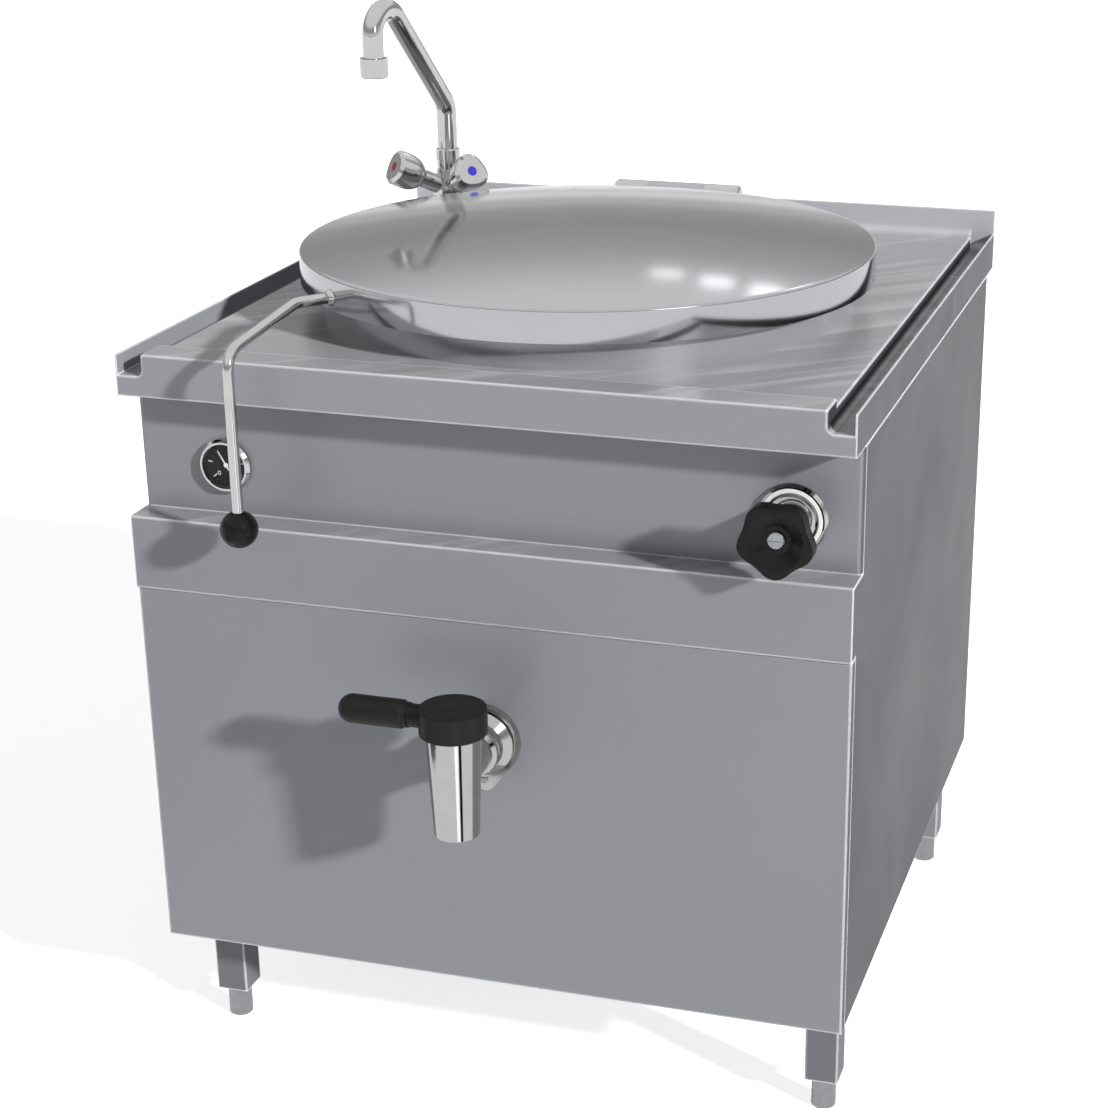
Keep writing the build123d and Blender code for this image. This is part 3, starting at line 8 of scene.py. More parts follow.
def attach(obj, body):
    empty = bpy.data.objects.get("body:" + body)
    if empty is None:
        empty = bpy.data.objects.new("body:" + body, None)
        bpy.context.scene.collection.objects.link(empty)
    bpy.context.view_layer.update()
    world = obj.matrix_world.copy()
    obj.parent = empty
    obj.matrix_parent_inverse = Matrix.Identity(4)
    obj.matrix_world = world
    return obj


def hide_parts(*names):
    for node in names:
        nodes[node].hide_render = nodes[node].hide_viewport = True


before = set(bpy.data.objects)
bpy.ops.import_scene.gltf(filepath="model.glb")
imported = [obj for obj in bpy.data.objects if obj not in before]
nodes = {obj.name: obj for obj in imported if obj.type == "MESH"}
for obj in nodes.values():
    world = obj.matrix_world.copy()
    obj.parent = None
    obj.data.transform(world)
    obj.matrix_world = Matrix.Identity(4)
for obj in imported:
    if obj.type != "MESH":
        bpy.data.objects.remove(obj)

scene = bpy.context.scene
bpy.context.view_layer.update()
millimetre = 0.001
frontOffset = 367.5  # the worktop's front edge lies this far in front of the origin, mm
potCentreY = 390.0  # the axis of the pot and of its lid, mm behind that edge
sharpAngle = 35  # edges that turn by more degrees than this stay crisp
smallestGap = 1e-6  # points of a mesh that lie closer than this are one, metres


def linearColour(code):
    # sRGB hex to the linear values that Blender works in
    channels = [int(code[i:i + 2], 16) / 255 for i in (1, 3, 5)]
    return tuple(c / 12.92 if c <= 0.04045 else ((c + 0.055) / 1.055) ** 2.4 for c in channels)


def addNode(tree, kind, settings=None, links=None):
    # one node with its settings, and links given as input: (node, output)
    node = tree.nodes.new(kind)
    for key, value in (settings or {}).items():
        if isinstance(key, str) and hasattr(node, key) and key not in node.inputs:
            setattr(node, key, value)
        else:
            node.inputs[key].default_value = value
    for key, (source, output) in (links or {}).items():
        tree.links.new(source.outputs[output], node.inputs[key])
    return node


def newMaterial(name):
    material = bpy.data.materials.new(name)
    material.use_nodes = True
    material.node_tree.nodes.clear()
    return material, material.node_tree


def twoTones(first, second):
    # what a mix node needs to blend two hex colours
    return {"data_type": "RGBA", 6: (*linearColour(first), 1), 7: (*linearColour(second), 1)}


def brushedStainless(name, look):
    # Brushed stainless sheet: fine parallel scratches that draw highlights out along the brushing, faint
    # clouds of the rolled surface under them, tones of painted light and shade for each way the sheet
    # faces, and a painted highlight along folded edges. Real scratches are finer than a hair, and these
    # are drawn as coarse as they need to be to show.
    material, tree = newMaterial(name)
    place = addNode(tree, "ShaderNodeTexCoord")

    # which way the sheet faces, and where on the machine it lies, in metres from the origin: these pick
    # the painted lit and shaded tones below
    facing = addNode(tree, "ShaderNodeSeparateXYZ", {}, {0: (place, "Normal")})
    sideways = addNode(tree, "ShaderNodeMath", {"operation": "ABSOLUTE"}, {0: (facing, 0)})
    upwards = addNode(tree, "ShaderNodeMapRange", {"From Min": 0.3, "From Max": 0.8},
                      {"Value": (facing, 2)})
    whereabouts = addNode(tree, "ShaderNodeSeparateXYZ", {}, {0: (place, "Object")})
    # only the machine's right side takes the dark painted shade of the sides; it fades out towards the
    # left
    rightward = addNode(tree, "ShaderNodeMapRange", {"From Min": -0.3, "From Max": 0.3},
                        {"Value": (whereabouts, 0)})
    sidewaysShare = addNode(tree, "ShaderNodeMapRange", {"From Min": 0.3, "From Max": 0.8, "To Min": 0.0},
                            {"Value": (sideways, 0), "To Max": (rightward, 0)})

    # scratches along the brushing, and clouds of the rolled sheet
    along, across = 1 / (look["scratchLength"] * millimetre), 1 / (look["scratchSpacing"] * millimetre)
    scale = [across, across, across]
    scale["XYZ".index(look["direction"])] = along
    stretched = addNode(tree, "ShaderNodeMapping", {"vector_type": "POINT", "Scale": scale},
                        {"Vector": (place, "Object")})
    scratches = addNode(tree, "ShaderNodeTexNoise", {"Scale": 1.0, "Detail": 3.0, "Roughness": 0.6},
                        {"Vector": (stretched, "Vector")})
    cloudScale = 1 / (look["cloudSize"] * millimetre)
    clouds = addNode(tree, "ShaderNodeTexNoise", {"Scale": cloudScale, "Detail": 2.0, "Distortion": 0.6},
                     {"Vector": (place, "Object")})
    tone = addNode(tree, "ShaderNodeMath",
                   {"operation": "MULTIPLY_ADD", 1: look["scratchShare"], 2: 0.0}, {0: (scratches, 0)})
    blendTone = addNode(tree, "ShaderNodeMath",
                        {"operation": "MULTIPLY_ADD", 1: 1 - look["scratchShare"]},
                        {0: (clouds, 0), 2: (tone, 0)})

    # upright sheet: its front, its back and its two sides, with painted light and shade: the sides painted
    # dark as shade, sheet near the back painted lighter as reflection
    front = addNode(tree, "ShaderNodeMix", twoTones(*look["front"]), {0: (blendTone, 0)})
    rear = addNode(tree, "ShaderNodeMix", twoTones(*look["rear"]), {0: (blendTone, 0)})
    backward = addNode(tree, "ShaderNodeMapRange", {"From Min": 0.25, "From Max": 0.45},
                       {"Value": (whereabouts, 1)})
    lengthwise = addNode(tree, "ShaderNodeMix", {"data_type": "RGBA"},
                         {0: (backward, 0), 6: (front, 2), 7: (rear, 2)})
    side = addNode(tree, "ShaderNodeMix", twoTones(*look["side"]), {0: (blendTone, 0)})
    upright = addNode(tree, "ShaderNodeMix", {"data_type": "RGBA"},
                      {0: (sidewaysShare, 0), 6: (lengthwise, 2), 7: (side, 2)})

    # level sheet: painted lighter as light from above, with painted streaks of reflection across it
    streakScale = (look["streakLength"] * millimetre, look["streakWidth"] * millimetre, 1.0)
    streakTurn = (0, 0, look["streakTurn"])
    slanted = addNode(tree, "ShaderNodeMapping",
                      {"vector_type": "TEXTURE", "Rotation": streakTurn, "Scale": streakScale},
                      {"Vector": (place, "Object")})
    streaks = addNode(tree, "ShaderNodeTexNoise", {"Scale": 1.0, "Detail": 2.0, "Distortion": 1.2},
                      {"Vector": (slanted, 0)})
    streakTone = addNode(tree, "ShaderNodeMapRange",
                         {"From Min": look["streakFrom"], "From Max": look["streakTo"]},
                         {"Value": (streaks, 0)})
    top = addNode(tree, "ShaderNodeMix", twoTones(*look["top"]), {0: (streakTone, 0)})
    overall = addNode(tree, "ShaderNodeMix", {"data_type": "RGBA"},
                      {0: (upwards, 0), 6: (upright, 2), 7: (top, 2)})

    # a painted highlight along the edges: where a rounded normal leaves the true one, by the cosine
    # between the two
    rounded = addNode(tree, "ShaderNodeBevel", {"samples": 4, "Radius": look["edgeWidth"] * millimetre})
    shape = addNode(tree, "ShaderNodeNewGeometry")
    turn = addNode(tree, "ShaderNodeVectorMath", {"operation": "DOT_PRODUCT"},
                   {0: (rounded, 0), 1: (shape, "Normal")})
    worn = addNode(tree, "ShaderNodeMapRange",
                   {"From Min": 0.998, "From Max": 0.95, "To Min": 0.0, "To Max": look["edgeShare"]},
                   {"Value": (turn, "Value")})
    bright = addNode(tree, "ShaderNodeMix", {"data_type": "RGBA", 7: (*linearColour(look["edge"]), 1)},
                     {0: (worn, 0), 6: (overall, 2)})

    # gloss: level sheet is rubbed finer than upright sheet, and both change a little with the clouds
    roughLevel = addNode(tree, "ShaderNodeMix",
                         {"data_type": "FLOAT", 2: look["roughness"], 3: look["topRoughness"]},
                         {0: (upwards, 0)})
    swing = look["roughnessSwing"]
    roughCloud = addNode(tree, "ShaderNodeMapRange",
                         {"From Min": 0.3, "From Max": 0.7, "To Min": -swing, "To Max": swing},
                         {"Value": (clouds, 0)})
    rough = addNode(tree, "ShaderNodeMath", {"operation": "ADD"}, {0: (roughLevel, 0), 1: (roughCloud, 0)})
    metal = addNode(tree, "ShaderNodeMix",
                    {"data_type": "FLOAT", 2: look["metallic"], 3: look["topMetallic"]},
                    {0: (upwards, 0)})

    # the scratches' depth, on the slow waves of thin sheet
    scratchDepth = {"Strength": look["scratchStrength"], "Distance": look["scratchDepth"] * millimetre}
    bump = addNode(tree, "ShaderNodeBump", scratchDepth, {"Height": (scratches, 0)})
    waves = addNode(tree, "ShaderNodeTexNoise",
                    {"Scale": 1 / (look["waveSize"] * millimetre), "Detail": 1.0},
                    {"Vector": (place, "Object")})
    waveDepth = {"Strength": look["waveStrength"], "Distance": look["waveDepth"] * millimetre}
    sheetWave = addNode(tree, "ShaderNodeBump", waveDepth, {"Height": (waves, 0), "Normal": (bump, 0)})
    shader = addNode(tree, "ShaderNodeBsdfPrincipled", {"Specular IOR Level": look["specular"]},
                     {"Base Color": (bright, 2), "Roughness": (rough, 0), "Metallic": (metal, 0),
                      "Normal": (sheetWave, 0)})
    addNode(tree, "ShaderNodeOutputMaterial", {}, {"Surface": (shader, "BSDF")})
    return material


# the cabinet's sheets: sizes in mm, and for each way that a sheet faces the two tones that it blends; the
# tones are painted light and shade, dark sides and lighter rear and top, and the edge is a painted
# highlight
panelLook = {
    "front": ("#88898E", "#909196"), "side": ("#303236", "#383A3E"), "rear": ("#9A9BA0", "#A2A3A8"),
    "top": ("#B6B6BA", "#E2E2E4"), "edge": "#FAFAFD", "edgeWidth": 2.6, "edgeShare": 1.0,
    "direction": "X", "scratchLength": 60.0, "scratchSpacing": 1.3, "scratchShare": 0.35,
    "scratchStrength": 0.12, "scratchDepth": 0.03, "cloudSize": 240.0,
    "waveSize": 320.0, "waveStrength": 0.25, "waveDepth": 1.0,
    "streakLength": 420.0, "streakWidth": 60.0, "streakTurn": 0.7, "streakFrom": 0.46, "streakTo": 0.68,
    "roughness": 0.4, "topRoughness": 0.3, "roughnessSwing": 0.04,
    "metallic": 0.25, "topMetallic": 0.5, "specular": 0.22,
}
# the worktop: the upstand at its back painted much lighter as reflection
plateLook = {
    **panelLook,
    "front": ("#8E8F94", "#999A9F"), "side": ("#3C3D42", "#44454A"), "rear": ("#BFC0C5", "#CBCCD0"),
    "top": ("#AEAEB1", "#C9C9CB"), "cloudSize": 120.0, "waveStrength": 0.35,
    "topRoughness": 0.25, "topMetallic": 0.2,
}
# the legs: darker all round, with their sides painted darker still as shade
legLook = {
    **panelLook, "direction": "Z", "front": ("#6C6D72", "#76777C"), "side": ("#56575B", "#5E5F63"),
}
frontSteel = brushedStainless("brushedStainlessFront", panelLook)
sideSteel = brushedStainless("brushedStainlessSide", {**panelLook, "direction": "Z"})
plateSteel = brushedStainless("brushedStainlessPlate", plateLook)
legSteel = brushedStainless("brushedStainlessLeg", legLook)


def spunStainless(name, look):
    # Spun and fine ground stainless: rings round the lathe axis, close to a dull mirror. The real rings
    # are finer, and these are drawn as coarse as they need to be to show.
    material, tree = newMaterial(name)
    place = addNode(tree, "ShaderNodeTexCoord")
    moved = addNode(tree, "ShaderNodeMapping", {"Location": [-c for c in look["centre"]]},
                    {"Vector": (place, "Object")})
    parts = addNode(tree, "ShaderNodeSeparateXYZ", {}, {0: (moved, 0)})
    flat = addNode(tree, "ShaderNodeCombineXYZ", {}, {0: (parts, 0), 1: (parts, 1)})
    radius = addNode(tree, "ShaderNodeVectorMath", {"operation": "LENGTH"}, {0: (flat, 0)})
    ringScale = 1 / (look["ringSpacing"] * millimetre)
    rings = addNode(tree, "ShaderNodeTexNoise",
                    {"noise_dimensions": "1D", "Scale": ringScale, "Detail": 3.0},
                    {"W": (radius, "Value")})
    clouds = addNode(tree, "ShaderNodeTexNoise",
                     {"Scale": 1 / (look["cloudSize"] * millimetre), "Detail": 2.0},
                     {"Vector": (place, "Object")})
    tone = addNode(tree, "ShaderNodeMath",
                   {"operation": "MULTIPLY_ADD", 1: look["ringShare"], 2: 0.0}, {0: (rings, 0)})
    blendTone = addNode(tree, "ShaderNodeMath",
                        {"operation": "MULTIPLY_ADD", 1: 1 - look["ringShare"]},
                        {0: (clouds, 0), 2: (tone, 0)})
    colour = addNode(tree, "ShaderNodeMix", twoTones(look["dark"], look["light"]), {0: (blendTone, 0)})
    low, high = look["roughness"] - look["roughnessSwing"], look["roughness"] + look["roughnessSwing"]
    rough = addNode(tree, "ShaderNodeMapRange",
                    {"From Min": 0.3, "From Max": 0.7, "To Min": low, "To Max": high},
                    {"Value": (clouds, 0)})
    ringDepth = {"Strength": look["ringStrength"], "Distance": look["ringDepth"] * millimetre}
    bump = addNode(tree, "ShaderNodeBump", ringDepth, {"Height": (rings, 0)})
    shader = addNode(tree, "ShaderNodeBsdfPrincipled", {"Metallic": look["metallic"]},
                     {"Base Color": (colour, 2), "Roughness": (rough, 0), "Normal": (bump, 0)})
    addNode(tree, "ShaderNodeOutputMaterial", {}, {"Surface": (shader, "BSDF")})
    return material


lidLook = {
    "centre": (0.0, (potCentreY - frontOffset) * millimetre, 0.0),
    "ringSpacing": 1.6, "ringShare": 0.3, "ringStrength": 0.05, "ringDepth": 0.02, "cloudSize": 260.0,
    "dark": "#B6B6B9", "light": "#C4C4C8", "roughness": 0.11, "roughnessSwing": 0.01, "metallic": 1.0,
}
lidSteel = spunStainless("spunStainlessLid", lidLook)
# The strainer in the pot's floor: spun with a coarser tool and left duller
panSteel = spunStainless("spunStainlessPan", {
    **lidLook, "ringSpacing": 2.2, "ringStrength": 0.08, "ringDepth": 0.03, "cloudSize": 150.0,
    "dark": "#9C9C9E", "light": "#B0B0B2", "roughness": 0.24, "roughnessSwing": 0.05})
# The pot and its rim above the plate: the same spinning, left paler and duller by the buffing wheel
rimSteel = spunStainless("buffedStainlessRim", {
    **lidLook, "ringSpacing": 1.8, "ringStrength": 0.06, "cloudSize": 180.0,
    "dark": "#AEAEB2", "light": "#C2C2C6", "roughness": 0.22, "roughnessSwing": 0.04, "metallic": 0.7})


def speckledSurface(name, look):
    # One base for cast, moulded, plated and painted pieces: a fine grain in the bump, drawn as coarse as
    # it needs to be to show, and slow changes of tone
    material, tree = newMaterial(name)
    place = addNode(tree, "ShaderNodeTexCoord")
    grain = addNode(tree, "ShaderNodeTexNoise",
                    {"Scale": 1 / (look["grain"] * millimetre), "Detail": 2.0},
                    {"Vector": (place, "Object")})
    patches = addNode(tree, "ShaderNodeTexNoise",
                      {"Scale": 1 / (look["patch"] * millimetre), "Detail": 2.0},
                      {"Vector": (place, "Object")})
    colour = addNode(tree, "ShaderNodeMix", twoTones(look["dark"], look["light"]), {0: (patches, 0)})
    low, high = look["roughness"] - look["roughnessSwing"], look["roughness"] + look["roughnessSwing"]
    rough = addNode(tree, "ShaderNodeMapRange",
                    {"From Min": 0.35, "From Max": 0.65, "To Min": low, "To Max": high},
                    {"Value": (patches, 0)})
    grainDepth = {"Strength": look["grainStrength"], "Distance": look["grainDepth"] * millimetre}
    bump = addNode(tree, "ShaderNodeBump", grainDepth, {"Height": (grain, 0)})
    settings = {"Metallic": look["metallic"], "Specular IOR Level": look.get("specular", 0.5)}
    shader = addNode(tree, "ShaderNodeBsdfPrincipled", settings,
                     {"Base Color": (colour, 2), "Roughness": (rough, 0), "Normal": (bump, 0)})
    addNode(tree, "ShaderNodeOutputMaterial", {}, {"Surface": (shader, "BSDF")})
    return material


# Chromium plate on brass: a hard mirror with only a breath of wiping marks
chrome = speckledSurface("polishedChromePlate", {
    "dark": "#C2C2C2", "light": "#D2D2D1", "grain": 9.0, "grainStrength": 0.03, "grainDepth": 0.05,
    "patch": 22.0, "roughness": 0.06, "roughnessSwing": 0.03, "metallic": 1.0})
# Satin cast and turned stainless of the cock's flange: soft greys with brighter edges
castSteel = speckledSurface("satinCastStainless", {
    "dark": "#A9A9A6", "light": "#C3C3C0", "grain": 1.2, "grainStrength": 0.12, "grainDepth": 0.04,
    "patch": 14.0, "roughness": 0.22, "roughnessSwing": 0.05, "metallic": 1.0})
# Polished stainless of the cock's spout: a hard warm mirror
spoutSteel = speckledSurface("polishedStainlessSpout", {
    "dark": "#B4B2B2", "light": "#C6C4C4", "grain": 5.0, "grainStrength": 0.03, "grainDepth": 0.03,
    "patch": 24.0, "roughness": 0.08, "roughnessSwing": 0.02, "metallic": 1.0})
# Turned stainless of the feet and screws: a grey sheen without a clear reflection
turnedSteel = speckledSurface("turnedStainless", {
    "dark": "#8E8F92", "light": "#A8A9AC", "grain": 0.8, "grainStrength": 0.15, "grainDepth": 0.03,
    "patch": 10.0, "roughness": 0.3, "roughnessSwing": 0.05, "metallic": 1.0})
# Pickled stainless of pipes and welded frame: duller and a little uneven
millSteel = speckledSurface("pickledStainlessPipe", {
    "dark": "#7C7D80", "light": "#909194", "grain": 1.5, "grainStrength": 0.2, "grainDepth": 0.05,
    "patch": 30.0, "roughness": 0.42, "roughnessSwing": 0.06, "metallic": 1.0})
# Moulded phenolic of the handwheel and ball: deep black that keeps a soft window of light
phenolic = speckledSurface("mouldedPhenolic", {
    "dark": "#0B0A0A", "light": "#121111", "grain": 0.7, "grainStrength": 0.06, "grainDepth": 0.02,
    "patch": 9.0, "roughness": 0.3, "roughnessSwing": 0.04, "metallic": 0.0, "specular": 0.22})
# Moulded glass filled nylon of the cock's cap and grip: warm dark grey, slightly matt
nylon = speckledSurface("mouldedNylon", {
    "dark": "#131110", "light": "#1A1817", "grain": 0.6, "grainStrength": 0.2, "grainDepth": 0.03,
    "patch": 12.0, "roughness": 0.42, "roughnessSwing": 0.05, "metallic": 0.0, "specular": 0.25})
# Sand cast brass with machined faces: yellow and slightly dull
castBrass = speckledSurface("castBrass", {
    "dark": "#9A7B41", "light": "#BE9C58", "grain": 0.9, "grainStrength": 0.3, "grainDepth": 0.06,
    "patch": 16.0, "roughness": 0.36, "roughnessSwing": 0.06, "metallic": 1.0})
# Drawn copper pipe with the first brown of use
copper = speckledSurface("drawnCopper", {
    "dark": "#8F5A40", "light": "#B8795A", "grain": 3.0, "grainStrength": 0.08, "grainDepth": 0.03,
    "patch": 35.0, "roughness": 0.3, "roughnessSwing": 0.08, "metallic": 1.0})
# Pressed mineral wool: matt fibres in yellow brown
mineralWool = speckledSurface("pressedMineralWool", {
    "dark": "#8A7D58", "light": "#A79A70", "grain": 2.5, "grainStrength": 0.9, "grainDepth": 0.8,
    "patch": 25.0, "roughness": 0.95, "roughnessSwing": 0.03, "metallic": 0.0})
# Stoved enamel of the dial: flat black with hardly any shine
dialEnamel = speckledSurface("mattStovedEnamel", {
    "dark": "#0A0C0B", "light": "#0E100F", "grain": 0.5, "grainStrength": 0.1, "grainDepth": 0.01,
    "patch": 6.0, "roughness": 0.6, "roughnessSwing": 0.05, "metallic": 0.0, "specular": 0.15})
# White stoved enamel of the ticks, needle and valve ring: even, with a soft sheen
whiteEnamel = speckledSurface("whiteStovedEnamel", {
    "dark": "#E6E6E4", "light": "#EFEFED", "grain": 0.6, "grainStrength": 0.05, "grainDepth": 0.01,
    "patch": 7.0, "roughness": 0.35, "roughnessSwing": 0.05, "metallic": 0.0})
# Filled enamel of the dots for hot and cold: full colour under a little gloss
redEnamel = speckledSurface("redFilledEnamel", {
    "dark": "#B5121A", "light": "#C81E24", "grain": 0.6, "grainStrength": 0.05, "grainDepth": 0.01,
    "patch": 5.0, "roughness": 0.25, "roughnessSwing": 0.04, "metallic": 0.0})
blueEnamel = speckledSurface("blueFilledEnamel", {
    "dark": "#2A2296", "light": "#342CA8", "grain": 0.6, "grainStrength": 0.05, "grainDepth": 0.01,
    "patch": 5.0, "roughness": 0.25, "roughnessSwing": 0.04, "metallic": 0.0})
# Oil hardened spring wire: dark grey with a thin sheen
springWire = speckledSurface("oilHardenedSpringWire", {
    "dark": "#4C4D50", "light": "#5E5F63", "grain": 1.0, "grainStrength": 0.1, "grainDepth": 0.02,
    "patch": 12.0, "roughness": 0.34, "roughnessSwing": 0.05, "metallic": 1.0})


def floatGlass(name, look):
    # Small flat gauge glass: clear, with a thin mirror of the room and a faint film of handling in it
    material, tree = newMaterial(name)
    place = addNode(tree, "ShaderNodeTexCoord")
    film = addNode(tree, "ShaderNodeTexNoise",
                   {"Scale": 1 / (look["film"] * millimetre), "Detail": 2.0},
                   {"Vector": (place, "Object")})
    rough = addNode(tree, "ShaderNodeMapRange",
                    {"From Min": 0.4, "From Max": 0.7, "To Min": 0.0, "To Max": look["roughness"]},
                    {"Value": (film, 0)})
    clear = addNode(tree, "ShaderNodeBsdfTransparent", {"Color": (*linearColour(look["tint"]), 1)})
    mirror = addNode(tree, "ShaderNodeBsdfAnisotropic", {"Color": (1, 1, 1, 1)}, {"Roughness": (rough, 0)})
    both = addNode(tree, "ShaderNodeMixShader", {0: look["mirror"]}, {1: (clear, 0), 2: (mirror, 0)})
    addNode(tree, "ShaderNodeOutputMaterial", {}, {"Surface": (both, 0)})
    return material


gaugeGlass = floatGlass("clearFloatGlass", {
    "film": 6.0, "roughness": 0.05, "tint": "#FAFCFB", "mirror": 0.012})
print("materials made")


def at(x, y, z):
    # from millimetres behind the worktop's front edge to metres in the frame
    return Vector((x, y - frontOffset, z)) * millimetre


def roundedLine(points, radii, steps):
    # a line of points whose inner corners are rounded, one radius for each corner
    nearlyStraight = pi - 0.01
    longestArc = 0.49  # share of the run beside it that an arc may take
    result = [Vector(points[0])]
    for i in range(1, len(points) - 1):
        corner, before, after = Vector(points[i]), Vector(points[i - 1]), Vector(points[i + 1])
        radius = radii[i - 1]
        toBefore, toAfter = (before - corner).normalized(), (after - corner).normalized()
        opening = toBefore.angle(toAfter)
        if radius <= 0 or opening > nearlyStraight:
            result.append(corner)
            continue
        reach = min(radius / tan(opening / 2), (before - corner).length * longestArc,
                    (after - corner).length * longestArc)
        size = reach * tan(opening / 2)
        middle = corner + (toBefore + toAfter).normalized() * size / sin(opening / 2)
        start, end = corner + toBefore * reach - middle, corner + toAfter * reach - middle
        sweep = start.angle(end)
        for step in range(steps + 1):
            share = step / steps
            arm = start * sin((1 - share) * sweep) + end * sin(share * sweep)
            result.append(middle + arm / sin(sweep))
    result.append(Vector(points[-1]))
    return result


def meshFrom(name, vertices, faces):
    mesh = bpy.data.meshes.new(name)
    mesh.from_pydata([tuple(v) for v in vertices], [], faces)
    shape = bmesh.new()
    shape.from_mesh(mesh)
    bmesh.ops.remove_doubles(shape, verts=shape.verts, dist=smallestGap)
    bmesh.ops.dissolve_degenerate(shape, edges=shape.edges, dist=smallestGap / 10)
    bmesh.ops.recalc_face_normals(shape, faces=shape.faces)
    shape.to_mesh(mesh)
    shape.free()
    return mesh


def turnedMesh(name, outline, origin, axis=(0, 0, 1), steps=96, closed=True):
    # turns an outline of (radius, height) in mm about an axis
    up = Vector(axis).normalized()
    standing = abs(up.z) > 0.99
    side = Vector((1, 0, 0)) if standing else (Vector((0, 0, 1)) - up * up.z).normalized()
    third = up.cross(side)
    vertices, faces = [], []
    count = len(outline)
    for step in range(steps):
        angle = 2 * pi * step / steps
        ray = side * cos(angle) + third * sin(angle)
        for radius, height in outline:
            vertices.append(origin + (ray * radius + up * height) * millimetre)
    for step in range(steps):
        here, following = step * count, (step + 1) % steps * count
        for i in range(count if closed else count - 1):
            j = (i + 1) % count
            faces.append((here + i, here + j, following + j, following + i))
    return meshFrom(name, vertices, faces)


def barMesh(name, path, radius, sides):
    # a round bar along a path of points in metres, with flat ends
    side = (path[1] - path[0]).normalized().orthogonal().normalized()
    vertices, faces = [], []
    for i, point in enumerate(path):
        before, after = path[max(i - 1, 0)], path[min(i + 1, len(path) - 1)]
        tangent = (after - before).normalized()
        side = (side - tangent * side.dot(tangent)).normalized()
        third = tangent.cross(side)
        for k in range(sides):
            angle = 2 * pi * k / sides
            ray = side * cos(angle) + third * sin(angle)
            vertices.append(point + ray * radius * millimetre)
    for i in range(len(path) - 1):
        here, following = i * sides, (i + 1) * sides
        for k in range(sides):
            m = (k + 1) % sides
            faces.append((here + k, here + m, following + m, following + k))
    last = (len(path) - 1) * sides
    faces.append(tuple(range(sides)))
    faces.append(tuple(last + k for k in range(sides)))
    return meshFrom(name, vertices, faces)


def finishPiece(mesh, name, material, body, replaced=()):
    # links a mesh as a piece of the machine on its body
    mesh.materials.append(material)
    mesh.shade_smooth()
    mesh.set_sharp_from_angle(angle=radians(sharpAngle))
    piece = bpy.data.objects.new(name, mesh)
    scene.collection.objects.link(piece)
    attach(piece, body)
    if replaced:
        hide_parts(*replaced)


def paint(material, *names):
    # gives the machine's own nodes their finish
    for name in names:
        for slot in nodes[name].material_slots:
            slot.material = material


paint(frontSteel, "front_panel", "ledge_band", "control_panel")
paint(plateSteel, "worktop")
paint(sideSteel, "side_panel_left", "side_panel_right", "rear_panel", "floor_panel")
paint(legSteel, "legs")
paint(millSteel, "base_frame", "steam_jacket", "drain_pipe", "steam_pipes", "condensate_pipes")
paint(millSteel, "gauge_case", "gauge_movement", "hinge_pin", "valve_spindle")
paint(castBrass, "steam_valve_body", "drain_plug", "valve_disc", "steam_trap", "safety_valve", "mixer_nut")
paint(copper, "water_pipes", "gauge_tube")
paint(mineralWool, "jacket_insulation")
paint(springWire, "hinge_springs")
paint(panSteel, "drain_strainer")
paint(rimSteel, "kettle_vessel")
paint(turnedSteel, "foot_front_left", "foot_front_right", "foot_rear_left", "foot_rear_right")
paint(turnedSteel, "handwheel_screw", "drain_flange_screw")
paint(dialEnamel, "gauge_dial")
paint(whiteEnamel, "gauge_needle")
paint(gaugeGlass, "gauge_glass")
paint(chrome, "hinge_housings", "hinge_caps", "gauge_bezel", "valve_escutcheon", "valve_bonnet")
paint(chrome, "mixer_body", "mixer_collar", "mixer_spout", "mixer_aerator", "hot_knob", "cold_knob")
paint(chrome, "lid_handle_rod")
paint(spoutSteel, "drain_valve_body")
paint(castSteel, "drain_flange")
paint(phenolic, "handwheel", "lid_handle_knob")
paint(nylon, "drain_cap", "drain_handle")
paint(lidSteel, "lid_shell", "lid_drip_ring", "lid_hinge_arm")
print("machine's own nodes finished")

# lid: a shallow spun dome with a rolled edge and a short skirt, sizes in mm
lid = {
    "radius": 330.0, "sheet": 1.5, "edgeHeight": 912.0, "rise": 24.0, "skirt": 36.0,
    "edgeRound": 3.0, "lipRound": 0.5, "roundSteps": 8, "steps": 256, "domeSteps": 48,
}


def domeHeight(radius, drop=0.0):
    sphere = (lid["radius"] ** 2 + lid["rise"] ** 2) / (2 * lid["rise"])
    return lid["edgeHeight"] + lid["rise"] - sphere + sqrt((sphere - drop) ** 2 - radius ** 2)


def domeLine(radius, drop=0.0):
    # points from the middle almost to the edge
    reaches = [radius * i / lid["domeSteps"] for i in range(lid["domeSteps"])]
    return [(reach, domeHeight(reach, drop)) for reach in reaches]


def lidOutline():
    outer, inner = lid["radius"], lid["radius"] - lid["sheet"]
    low = lid["edgeHeight"] - lid["skirt"]
    top, under = domeLine(outer), domeLine(inner, lid["sheet"])
    # the last corner only says which way the skirt's inside runs up from its lip
    corners = [top[-1], (outer, domeHeight(outer)), (outer, low), (inner, low), (inner, under[-1][1] - 1)]
    edge = roundedLine(corners, [lid["edgeRound"], lid["lipRound"], lid["lipRound"]], lid["roundSteps"])
    return [Vector(p) for p in top] + edge[1:-1] + [Vector(p) for p in reversed(under)]


lidMesh = turnedMesh("lidShell", lidOutline(), at(0, potCentreY, 0), steps=lid["steps"], closed=False)
finishPiece(lidMesh, "lidShell", lidSteel, "lid", ["lid_shell"])
print("lid made")

# the bent bar runs from the lid's skirt to its turn and down into the ball; rootGap keeps it off the skirt
bar = {
    "diameter": 12.0, "rootAngle": 230.3, "rootHeight": 890.0, "rootGap": 0.05, "reach": 41.0,
    "turnX": -247.0, "turnY": -42.0, "turnHeight": 871.0, "bend": 24.0, "bendSteps": 14, "sides": 40,
}
